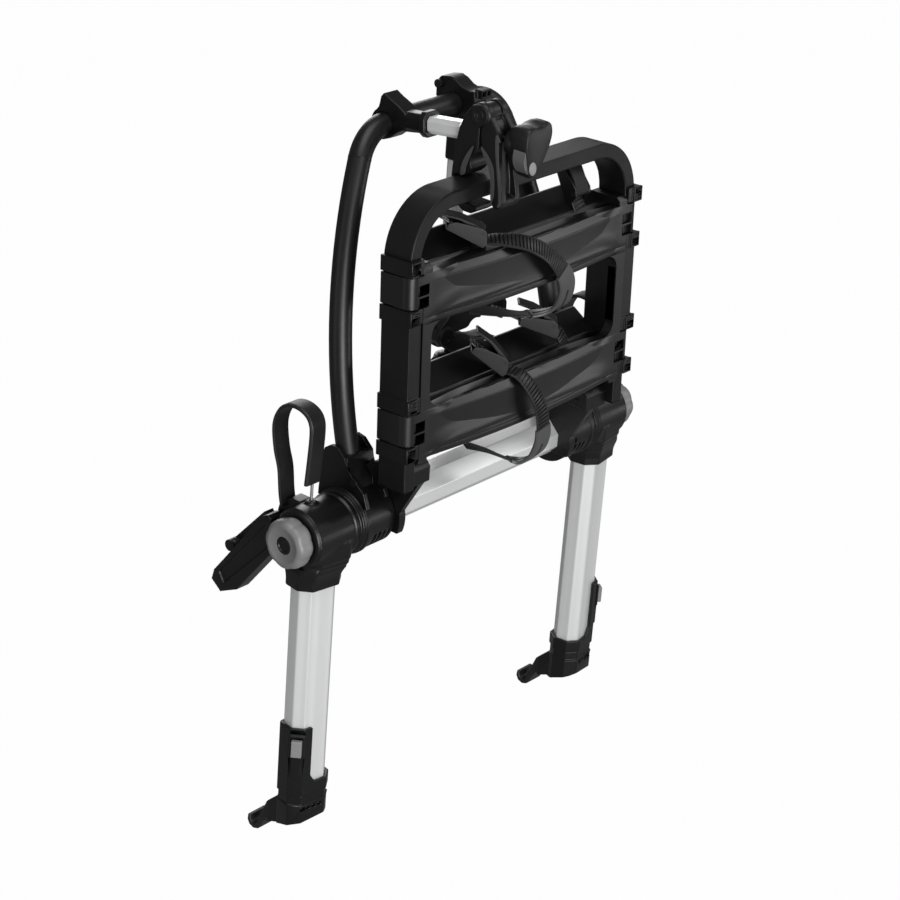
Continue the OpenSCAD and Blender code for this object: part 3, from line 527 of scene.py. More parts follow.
class Builder:
    """Makes pieces, hangs them on their bodies and hides the CAD nodes they stand for."""

    def __init__(self, frame: dict, finishes: Finishes) -> None:
        """Keeps the CAD nodes, the body that each one rides on, and the finishes.

        Args:
            finishes: The finishes.
        """
        self.nodes: dict[str, Object] = frame["nodes"]
        bodies: dict[str, list[str]] = frame["record"]["behaviour"]["bodies"]
        self.body_of = {node: body for body, nodes in bodies.items() for node in nodes}
        self.finishes = finishes

    def place(self, piece: Object, body: str, finish: str, nodes: Sequence[str]) -> None:
        """Hangs a piece on its body.

        Args:
            piece: The new piece.
            body: The body that it rides on.
            finish: Its finish, whose record slot is looked up but not kept.
            nodes: CAD nodes that it stands for.
        """
        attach(piece, body)
        FINISHES[finish].slot.value
        if nodes:
            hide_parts(*nodes)
        LOG.info("%s rides on %s", piece.name, body)

    def add(self, bm: BMesh, name: str, frame: Matrix | None, finish: str, body: str,
            nodes: Sequence[str] = (), angle: float = 40.0, weigh: bool = True) -> None:
        """Makes a piece from a bmesh and hangs it on its body.

        Args:
            bm: The mesh, which is freed.
            name: The piece's name.
            frame: The frame that the mesh is drawn in, or None for the scene's own.
            finish: Its finish.
            body: The body that it rides on.
            nodes: CAD nodes that it stands for.
            angle: Edges over this angle stay sharp, in degrees.
            weigh: Whether large faces keep their own normals.
        """
        if frame is not None:
            bm.transform(frame)
        bmesh.ops.recalc_face_normals(bm, faces=bm.faces)
        mesh = mesh_from(bm, name)
        mesh.materials.append(self.finishes[finish])
        settle_normals(mesh, angle)
        piece = add_object(name, mesh)
        if weigh:
            weigh_normals(piece)
        self.place(piece, body, finish, nodes)

    def dress(self, node: str, finish: str) -> None:
        """Gives a CAD node that keeps its shape its finish.

        Args:
            node: The CAD node.
            finish: Its finish.
        """
        data = self.nodes[node].data
        data.materials.clear()
        data.materials.append(self.finishes[finish])
        LOG.info("%s keeps its CAD shape", node)

    def shape_of(self, node: str, flat: float = 0.06) -> BMesh:
        """Copies a CAD node's shape and joins its flat faces.

        Args:
            node: The CAD node.
            flat: Faces within this angle of each other are joined, in degrees.

        Returns:
            The shape in metres.
        """
        bm = bmesh.new()
        bm.from_mesh(self.nodes[node].data)
        bmesh.ops.remove_doubles(bm, verts=bm.verts, dist=2e-6)
        bmesh.ops.dissolve_limit(bm, angle_limit=math.radians(flat), verts=bm.verts, edges=bm.edges)
        return bm

    def soften(self, node: str, finish: str, width: float, segments: int = 2, flat: float = 0.06,
               angle: float = 28.0) -> None:
        """Replaces a CAD node by its own shape with moulded, rounded edges.

        Args:
            node: The CAD node.
            finish: The finish of the new piece.
            width: Width of the rounding in millimetres.
            segments: Steps across the rounding.
            flat: Faces within this angle of each other are joined first, in degrees.
            angle: Edges that turn by more than this are rounded, in degrees.
        """
        bm = self.shape_of(node, flat)
        bevel_edges(bm, width * MM, segments, angle)
        self.add(bm, node + "_moulding", None, finish, self.body_of[node], [node])

    def melt(self, mesh: Mesh, name: str, finish: str, node: str, voxel: float, times: int,
             faces: int) -> None:
        """Replaces a CAD node by one skin over a mesh, with every edge melted round.

        Args:
            mesh: The mesh in metres, which is removed.
            name: The piece's name.
            finish: Its finish.
            node: The CAD node that it stands for.
            voxel: The grid that the shape is taken on, in millimetres.
            times: How many times the surface is smoothed.
            faces: About how many triangles stay.
        """
        piece = add_object(name, mesh)
        grid = piece.modifiers.new("grid", "REMESH")
        grid.mode = "VOXEL"
        grid.voxel_size = voxel * MM
        soft = piece.modifiers.new("melt", "SMOOTH")
        soft.factor = 0.5
        soft.iterations = times
        graph = bpy.context.evaluated_depsgraph_get()
        count = len(piece.evaluated_get(graph).data.polygons) * 2
        if count > faces:
            piece.modifiers.new("fewer", "DECIMATE").ratio = faces / count
        skin = apply_modifiers(piece)
        skin.materials.clear()
        skin.materials.append(self.finishes[finish])
        settle_normals(skin, 50.0)
        self.place(piece, self.body_of[node], finish, [node])

    def remould(self, node: str, finish: str, voxel: float, times: int, faces: int) -> None:
        """Replaces a CAD node by its own shape with every edge melted round."""
        self.melt(self.nodes[node].data.copy(), node + "_moulding", finish, node, voxel, times, faces)

    def melt_shells(self, bm: BMesh, name: str, finish: str, node: str, voxel: float, times: int,
                    faces: int) -> None:
        """Replaces a CAD node by one skin over overlapping shells, which are freed."""
        bmesh.ops.recalc_face_normals(bm, faces=bm.faces)
        self.melt(mesh_from(bm, name), name, finish, node, voxel, times, faces)

    def prism(self, name: str, frame: Matrix, outline: Sequence[Point], low: float, high: float,
              finish: str, body: str, width: float) -> None:
        """Makes a plate from a YZ outline, with rounded edges.

        Args:
            name: The piece's name.
            frame: The frame that the outline is drawn in.
            outline: Its corners as Y and Z.
            low: Where it starts along X.
            high: Where it ends along X.
            finish: Its finish.
            body: The body that it rides on.
            width: Width of the rounding in millimetres.
        """
        bm = bmesh.new()
        add_prism(bm, outline, low, high, Matrix.Identity(4))
        if width:
            bevel_edges(bm, width)
        self.add(bm, name, frame, finish, body)

    def lathe(self, name: str, frame: Matrix, profile: Sequence[Pair], finish: str,
              body: str, steps: int = 48, angle: float = 40.0) -> None:
        """Turns a profile about the frame's own Z axis.

        Args:
            name: The piece's name.
            frame: The frame whose Z is the axis.
            profile: Radius and height of each ring, from one end to the other.
            finish: Its finish.
            body: The body that it rides on.
            steps: Steps round the axis.
            angle: Edges over this angle stay sharp, in degrees.
        """
        bm = bmesh.new()
        rings = []
        for r, z in profile:
            if r < 1e-6:
                rings.append([bm.verts.new((0.0, 0.0, z))] * steps)
            else:
                rings.append([bm.verts.new((x, y, z)) for x, y in ring_points(r, steps)])
        for a, b in zip(rings, rings[1:]):
            for i in range(steps):
                k = (i + 1) % steps
                corners = [a[i], a[k], b[k], b[i]]
                unique = [v for n, v in enumerate(corners) if v not in corners[:n]]
                if len(unique) > 2:
                    bm.faces.new(unique)
        self.add(bm, name, frame, finish, body, angle=angle)


# Sub-assemblies


@dataclass
class Assembly:
    """What the sub-assemblies share.

    Attributes:
        kit: The builder that makes their pieces and hangs them on their bodies.
    """

    kit: Builder


@dataclass
class MainFrame(Assembly):
    """The main tube, the arch with its brackets and clamps, and the screws.

    Attributes:
        bracket_edge: Width of the rounding on the arch's brackets.
        clamp_edge: Width of the rounding on its clamps.
    """

    bracket_edge: float = 1.2
    clamp_edge: float = 1.6

    def build(self) -> None:
        """Dresses the tubes and rounds the brackets and clamps."""
        self.kit.soften("arch_tube", "coated", 0.4)
        self.kit.soften("main_tube", "crosswise", 1.0)
        for side in Side:
            self.kit.soften("arch_bracket_" + side.tag, "black", self.bracket_edge)
            self.kit.soften("fold_bracket_" + side.tag, "black", 1.0)
            self.kit.soften("arch_clamp_" + side.tag, "black", self.clamp_edge, 3)
        self.kit.soften("fasteners", "dark_steel", 0.5)


@dataclass
class Leg(Assembly):
    """One leg with its hub, dial, collar, telescopic foot and upper hook.

    Attributes:
        side: The side that it stands on.
        leg_x: Distance of the leg's axis from the middle.
        eye_y: The Y at which the hook cable leaves the hub.
        stand_at: The X and Y of the socket's axis.
        splay: The socket's turn about its axis, in degrees.
        rings: The radius of each ring of the hub's barrel, and where it starts and ends along X.
        socket: Half the width and half the depth of the hub's socket at its foot.
        chamfer: Width of the socket's chamfered corners.
        layers: How far each layer of the socket grows to the middle, away from it and in depth, and
            the heights at which it starts and ends.
        dial_across: Width across the dial.
        lobes: How many lobes its rim has.
        dial_rings: The size, height and share of the lobes of each ring of the dial.
        pull_points: The pull strap's middle line as Y and Z.
    """

    side: Side
    leg_x: float = 291.0
    eye_y: float = 6.0
    stand_at: Pair = (289.0, -3.0)
    splay: float = 9.0
    rings: tuple[Point, ...] = (
        (45.0, 240.4, 244.0), (41.0, 243.0, 249.5), (43.0, 249.0, 254.0), (40.8, 253.0, 318.0),
        (38.0, 317.0, 321.6))
    socket: Pair = (36.3, 27.3)
    chamfer: float = 15.5
    layers: tuple[Point, ...] = (
        (0.0, 0.0, 0.0, -68.8, -54.0), (0.8, 0.0, 0.8, -55.0, -50.0), (2.2, 0.0, 2.0, -51.0, -46.0),
        (4.0, 0.0, 3.5, -47.0, -42.0), (6.0, -1.0, 5.0, -43.0, -36.0), (8.0, -5.5, 7.0, -37.0, -28.0),
        (9.0, -5.5, 9.0, -29.0, -5.0))
    dial_across: float = 66.0
    lobes: int = 8
    dial_rings: tuple[Point, ...] = (
        (0.86, 0.2, 1.0), (0.93, 1.2, 1.0), (0.97, 4.0, 1.0), (1.0, 8.0, 1.0), (1.0, 16.5, 1.0),
        (0.985, 19.5, 1.0), (0.95, 22.0, 0.9), (0.89, 24.0, 0.8), (0.82, 25.0, 0.6), (0.76, 25.3, 0.3),
        (0.70, 24.9, 0.0), (0.67, 24.3, 0.0), (0.42, 23.6, 0.0), (0.37, 23.2, 0.0), (0.36, 21.0, 0.0))
    pull_points: tuple[Point, ...] = (
        (6, 68), (3, 104), (1, 138), (3, 154), (11, 164), (26, 169), (43, 167), (58, 155), (66, 132),
        (62, 100), (54, 74), (50, 42), (46, 24))

    def build(self) -> None:
        """Builds the leg from the hub down to the hook, then the upper hook, dial and pull strap."""
        tag = self.side.tag
        self.hub()
        for node, finish, width, segments in (
                ("leg_tube_", "upright", 1.6, 3), ("leg_collar_", "black", 1.4, 2),
                ("extension_tube_", "upright", 0.8, 2), ("release_button_", "pale", 1.0, 2),
                ("foot_", "black", 1.8, 3), ("foot_hook_", "rubber", 2.4, 3)):
            self.kit.soften(node + tag, finish, width, segments)
        self.kit.remould("hook_arm_" + tag, "black", 1.0, 4, 6000)
        self.kit.soften("hook_blade_" + tag, "dark_steel", 0.8)
        self.dial()
        self.kit.dress("hook_cable_" + tag, "steel")
        self.pull_strap()

    def hub(self) -> None:
        """Builds the hub as a round barrel that flows down into the leg's chamfered socket."""
        side, tag = self.side.value, self.side.tag
        eye = moved(TUBE_FRAME, (side * self.leg_x, self.eye_y, 0.0))
        x, y = self.stand_at
        stand = moved(TUBE_FRAME, (side * x, y, 0.0), side * self.splay) @ ON_END
        wide, cut = self.socket[0], self.chamfer
        bm = bmesh.new()
        for radius, low, high in self.rings:
            add_prism(bm, ring_points(radius), side * low, side * high, TUBE_FRAME)
        for inner, outer, deeper, low, high in self.layers:
            near, far = (wide + grown for grown in ((outer, inner) if side > 0 else (inner, outer)))
            d = self.socket[1] + deeper
            outline = [(near, -d + cut), (near, d - cut), (near - cut, d), (cut - far, d),
                       (-far, d - cut), (-far, cut - d), (cut - far, -d), (near - cut, -d)]
            add_prism(bm, outline, low, high, stand)
        crest = [(20, -10), (20, 38), (38, 38), (56, 22), (60, 6), (52, -6), (40, -14)]
        add_prism(bm, crest, side * (self.leg_x - 16), side * (self.leg_x + 6.6), TUBE_FRAME)
        add_prism(bm, ring_points(8.0, 24), 38.0, 43.2, eye @ ON_END)
        self.kit.melt_shells(bm, f"hub_{tag}_shell", "black", "hub_housing_" + tag, 1.1, 16, 16000)
        seat = [(36.4, 318.0), (36.4, 321.4), (35.4, 321.9), (33.6, 321.9), (33.0, 321.0)]
        self.kit.lathe(f"hub_{tag}_dial_seat", moved(TUBE_FRAME, (0.0, 0.0, 0.0), 90.0, "Y"),
                [(radius, side * x) for radius, x in seat], "black", "leg_" + tag)
        rim = [(2.6, 40.0), (2.6, 43.6), (3.4, 44.4), (5.4, 44.2), (6.4, 43.0), (6.6, 40.0)]
        self.kit.lathe(f"hub_{tag}_cable_eye", eye, rim, "dark_steel", "leg_" + tag)

    def dial(self) -> None:
        """Builds the tension dial as a lobed grip with a dished face, and its black cap."""
        side, tag = self.side.value, self.side.tag
        frame = moved(TUBE_FRAME, (side * 322.4, 0.0, 0.0), side * 90.0, "Y")
        steps = 96
        lobe_rise, notch_depth, notch_spread = 0.018, 0.022, 0.004
        bm = bmesh.new()
        rows = []
        for size, height, share in self.dial_rings:
            row = []
            for i in range(steps):
                angle = 2 * math.pi * i / steps
                wave = 1.0 + share * lobe_rise * math.cos(self.lobes * angle)
                off_middle = (angle * self.lobes / (2 * math.pi)) % 1.0 - 0.5
                notch = share * notch_depth * math.exp(-off_middle ** 2 / notch_spread)
                radius = self.dial_across / 2 * size * wave * (1 - notch)
                row.append(bm.verts.new((radius * math.cos(angle), radius * math.sin(angle), height)))
            rows.append(row)
        join_rows(bm, rows)
        bm.faces.new(rows[0][::-1])
        self.kit.add(bm, f"dial_{tag}_grip", frame, "grey", "dial_" + tag, ["tension_dial_" + tag], 48.0,
                     False)
        cap = [(11.6, 20.5), (11.6, 22.6), (10.6, 23.2), (8.6, 23.2), (8.0, 22.2), (0.0, 22.2)]
        self.kit.lathe(f"dial_{tag}_cap", frame, cap, "black", "dial_" + tag)

    def pull_strap(self) -> None:
        """Builds the smooth rubber pull strap as a rounded band."""
        tag = self.side.tag
        x = self.side.value * self.leg_x
        line = even_line(smooth_line([(x, y, z) for y, z in self.pull_points], 8), 2.2)
        Band(27.0, 5.0, 0.0, 5.0, (34.0, 110.0)).build(
            self.kit, f"pull_strap_{tag}_band", TUBE_FRAME, line, "rubber", "leg_" + tag,
            ["pull_strap_" + tag])


@dataclass
class Band:
    """A moulded strap along a line, with or without teeth across its outer face.

    Attributes:
        width: The strap's width.
        thick: Its thickness.
        rib: Height of the teeth above the valleys, or nought for a smooth strap.
        pitch: Distance between two teeth.
        centre: A point in the YZ plane that the inner face looks at.
    """

    width: float
    thick: float
    rib: float
    pitch: float
    centre: Pair

    def build(self, b: Builder, name: str, frame: Matrix, line: Sequence[Vector], finish: str, body: str,
              nodes: Sequence[str] = ()) -> None:
        """Builds the band.

        Args:
            b: The builder.
            name: The piece's name.
            frame: The frame that the line is drawn in.
            line: The strap's middle line.
            finish: Its finish.
            body: The body that it rides on.
            nodes: CAD nodes that it stands for.
        """
        bm = bmesh.new()
        rows: list[list[BMVert]] = []
        half, thin = self.width / 2, self.thick / 2
        run = 0.0
        for i, p in enumerate(line):
            before, after = line[max(i - 1, 0)], line[min(i + 1, len(line) - 1)]
            along = (after - before).normalized()
            away = Vector((0.0, p.y - self.centre[0], p.z - self.centre[1]))
            side = along.cross(away).normalized()
            out = side.cross(along)
            if i:
                run += (p - line[i - 1]).length
            toothed = self.rib > 0 and 0.02 < i / (len(line) - 1) < 0.985
            valley = toothed and (run / self.pitch) % 1.0 >= 0.62
            top = thin - self.rib if valley else thin
            section = [
                (-half, -thin * 0.6), (-half + 0.8, -thin), (half - 0.8, -thin), (half, -thin * 0.6),
                (half, thin * 0.35), (half - 0.8, thin * 0.7), (half - 2.0, thin * 0.8),
                (half - 2.6, top), (-half + 2.6, top),
                (-half + 2.0, thin * 0.8), (-half + 0.8, thin * 0.7), (-half, thin * 0.35)]
            rows.append([bm.verts.new(p + side * u + out * v) for u, v in section])
        join_rows(bm, rows)
        bm.faces.new(rows[0][::-1])
        bm.faces.new(rows[-1])
        b.add(bm, name, frame, finish, body, nodes, 32.0, False)


@dataclass
class WheelStrap(Assembly):
    """One ratchet strap with its buckle lever and its end pad.

    Attributes:
        name: Its place, such as upper_left.
        level: Height of its tray.
        run: The strap's line relative to its tray.
        centre: A point in the YZ plane that the strap's inner face looks at.
        pad: The shares of the length between which the smooth end pad lies, if it has one.
    """

    name: str
    level: float
    run: tuple[Point, ...]
    centre: Pair
    pad: Pair | None = None

    def build(self) -> None:
        """Builds the toothed strap, its pad with a slot and a tail, and the lever."""
        frame = moved(PLATFORM_FRAME, (0.0, 0.0, self.level))
        line = even_line(smooth_line(self.run, 10), 0.65)
        node = "strap_" + self.name
        # The width, thickness, tooth height and pitch of each part.
        teeth = (24.0, 3.4, 1.9, 5.2)
        parts = [("_teeth", teeth, line, "strap")]
        if self.pad:
            start, end = (round(share * (len(line) - 1)) for share in self.pad)
            third = (end - start) // 3
            parts = [("_teeth", teeth, line[:start + 4], "strap"),
                     ("_pad", (27.0, 4.8, 0.0, 5.2), line[start:end], "pad"),
                     ("_slot", (6.5, 6.4, 0.9, 2.6), line[start + third:end - 5], "strap"),
                     ("_tail", (20.0, 2.6, 1.2, 3.2), line[end - 4:], "strap")]
        for part, sizes, stretch, finish in parts:
            Band(*sizes, self.centre).build(self.kit, node + part, frame, stretch, finish, "platform",
                                            [node] if part == "_teeth" else ())
        self.kit.soften("lever_" + self.name, "lever", 1.0, 3)


@dataclass
class Fascia(Assembly):
    """The smooth front skin that runs over both trays and down the end plates.

    Attributes:
        levels: Heights of the upper and the lower tray.
        front: How far the skin's flat ends lie in front of the tube's axis.
        reach: Half its width.
        web: Half the distance between the end plates' inner walls.
        cap: Half the distance over the end plates' flat webs.
        corner: Radius of the window's corners.
        depth: How far the skin's edges turn back.
        bow: How far its middle bulges.
        sides: The heights over a tray's lower edge between which its caps are closed.
        windows: The heights over that edge of the lower and the upper row of windows.
        window_x: Where the windows start.
        profile: Height over that edge and how far the skin stands out there.
    """

    levels: Pair
    front: float = 96.6
    reach: float = 230.3
    web: float = 189.0
    cap: float = 206.0
    corner: float = 20.0
    depth: float = 14.0
    bow: float = 5.0
    sides: Pair = (24.0, 65.0)
    windows: tuple[Pair, ...] = ((23.0, 37.0), (39.5, 53.5))
    window_x: float = 196.0
    profile: tuple[Pair, ...] = (
        (0.0, -4.0), (0.6, -1.6), (2.0, -0.4), (4.0, 0.0), (7.4, 0.0), (8.2, -0.8), (9.0, -0.4),
        (9.8, 1.4), (11.0, 2.9), (12.6, 4.0), (14.6, 4.5), (17.0, 4.5), (20.0, 4.1), (24.0, 3.2),
        (28.0, 2.2), (32.0, 1.3), (36.0, 0.6), (41.0, 0.1), (47.0, -0.2), (52.0, -0.4), (55.0, -0.6),
        (56.4, -0.5), (57.4, -1.0), (61.0, -3.8), (64.6, -6.6), (66.0, -8.6), (66.3, -11.0))

    def forward(self, x: float, rise: float, height: float) -> float:
        """Works out how far the skin lies in front at a place.

        Args:
            x: Distance from the middle.
            rise: The profile's value at that height.
            height: The height above the tray's lower edge.

        Returns:
            The Y coordinate in the platform's frame.
        """
        # The profile fades out towards the caps, over a longer way higher up.
        run_in = 26.0 + 1.5 * min(height, 50.0)
        share = min(max((self.cap - 4.0 - abs(x)) / run_in, 0.0), 1.0)
        share = share * share * (3 - 2 * share)
        bulge = self.bow * max(0.0, 1.0 - (x / self.web) ** 2)
        y = -self.front - share * rise - bulge
        turn = abs(x) - (self.reach - self.depth)
        if turn > 0:
            y += self.depth - math.sqrt(max(self.depth ** 2 - turn ** 2, 0.0))
        return y

    def build(self) -> None:
        """Builds the skin over the trays, the webs between them and the four filled corners."""
        bm = bmesh.new()
        for z in self.levels:
            self.tray(bm, z)
        high = self.levels[0]
        low = self.levels[1] + self.profile[-1][0]
        for sign in (-1, 1):
            self.web_strip(bm, sign, low, high)
            self.fill(bm, sign, high, -1)
            self.fill(bm, sign, low, 1)
        bmesh.ops.remove_doubles(bm, verts=bm.verts, dist=0.05)
        rim = [e for e in bm.edges if len(e.link_faces) == 1]
        grown = bmesh.ops.extrude_edge_only(bm, edges=rim)
        for v in grown["geom"]:
            if isinstance(v, BMVert):
                v.co.y += self.depth
        self.kit.add(bm, "platform_fascia", PLATFORM_FRAME, "satin", "platform", (), 30.0, False)

    def tray(self, bm: BMesh, z: float) -> None:
        """Builds the skin of one tray, with the double windows left open in its caps.

        Args:
            bm: The skin's mesh.
            z: Height of the tray's lower edge.
        """
        edge = self.reach - self.depth
        xs = [-self.reach, -229.0, -227.0, -224.0, -220.0, -edge, -self.cap, -self.window_x]
        xs += [-190.0 + 380.0 * i / 76 for i in range(77)]
        xs += [-x for x in xs[7::-1]]
        breaks = {t for pair in (*self.windows, self.sides) for t in pair}
        levels = sorted({t for t, _ in self.profile} | breaks)
        rows = []
        for t in levels:
            rise = next(a[1] + (c[1] - a[1]) * (t - a[0]) / (c[0] - a[0])
                        for a, c in zip(self.profile, self.profile[1:]) if a[0] <= t <= c[0])
            rows.append([bm.verts.new((x, self.forward(x, rise, t), z + t)) for x in xs])
        for j, (a, c) in enumerate(zip(rows, rows[1:])):
            middle = (levels[j] + levels[j + 1]) / 2
            for i in range(len(xs) - 1):
                x = abs(xs[i] + xs[i + 1]) / 2
                beside = x > self.cap and not self.sides[0] < middle < self.sides[1]
                opening = self.window_x < x < edge and any(low < middle < high for low, high in self.windows)
                if not beside and not opening:
                    bm.faces.new((a[i], a[i + 1], c[i + 1], c[i]))

    def web_strip(self, bm: BMesh, sign: int, low: float, high: float) -> None:
        """Builds the flat strip of one end plate between the trays."""
        corners = ((self.web, low), (self.cap, low), (self.cap, high), (self.web, high))
        bm.faces.new([bm.verts.new((sign * x, -self.front, z)) for x, z in corners])

    def fill(self, bm: BMesh, sign: int, z: float, way: int) -> None:
        """Fills one corner of the window between the trays with a round fillet.

        Args:
            bm: The skin's mesh.
            sign: The side's sign.
            z: Height of the window's edge.
            way: The direction from there into the window.
        """
        r = self.corner
        points = [(sign * self.web, z)]
        for i in range(9):
            angle = math.pi / 2 * i / 8
            points.append((sign * (self.web - r + r * math.sin(angle)), z + way * (r - r * math.cos(angle))))
        bm.faces.new([bm.verts.new((x, -self.front, h)) for x, h in points])


@dataclass
class Platform(Assembly):
    """The folded wheel platform: loop bar, end plates, clips, trays and straps.

    Attributes:
        tray_levels: Heights of the upper and the lower tray.
    """

    tray_levels: Pair = (289.0, 107.0)

    def straps(self) -> list[WheelStrap]:
        """Lists the four wheel straps.

        Returns:
            The straps, from the upper left to the lower right.
        """
        high, low = self.tray_levels
        return [
            WheelStrap(self.kit, "upper_left", high, (
                (-107, -35, 104), (-88, -55, 89.5), (-70, -74, 76), (-52, -92, 75), (-26, -111, 69),
                (6, -120, 50), (34, -121, 24), (56, -116, -4), (70, -101, -34), (71, -88, -49),
                (58, -72, -57), (36, -57, -57), (8, -37, -52), (-20, -16, -46)), (-60.0, 20.0), (0.5, 0.8)),
            WheelStrap(self.kit, "upper_right", high, (
                (134, -38, 141), (134, -51, 112), (134, -64, 83), (136, -70, 69)), (-20.0, 60.0)),
            WheelStrap(self.kit, "lower_left", low, (
                (-55, -50, 110), (-40, -66, 92), (-26, -81, 74), (-18, -104, 68), (-6, -120, 44),
                (6, -124, 14), (12, -123, -11), (20, -116, -33), (24, -104, -55), (17, -88, -69),
                (5, -74, -68), (-25, -58, -51), (-58, -48, -36)), (-60.0, 10.0), (0.5, 0.78)),
            WheelStrap(self.kit, "lower_right", low, (
                (37, -8, 122), (66, -39, 107), (94, -70, 92), (102, -77, 80), (104, -77, 70)), (-30.0, 30.0)),
        ]

    def build(self) -> None:
        """Rounds the bar, plates and trays, and builds the straps."""
        self.kit.soften("loop_bar", "bar", 2.6, 3)
        for side in Side:
            self.end_plate("end_plate_" + side.tag)
            self.kit.soften("bar_clips_" + side.tag, "black", 1.2)
        Fascia(self.kit, self.tray_levels).build()
        for tray in ("tray_upper", "tray_lower"):
            self.kit.soften(tray, "satin", 1.0, flat=0.02, angle=20.0)
        self.kit.soften("buckle_frames", "black", 0.8)
        for strap in self.straps():
            strap.build()

    def end_plate(self, node: str) -> None:
        """Rounds an end plate, most of all the outer front corners of its caps.

        Args:
            node: The end plate's CAD node.
        """
        corner_x, corner_y, turn, radius = 229.5, -90.0, 0.7, 14.0
        bm = self.kit.shape_of(node)
        bm.transform(PLATFORM_FRAME.inverted())
        corners = [e for e in bm.edges if len(e.link_faces) == 2 and e.calc_face_angle(0.0) > turn
                   and all(abs(v.co.x) > corner_x and v.co.y < corner_y for v in e.verts)]
        bevel(bm, corners, radius, 7)
        bevel_edges(bm, 1.2)
        self.kit.add(bm, node + "_moulding", PLATFORM_FRAME, "satin", "platform", [node])

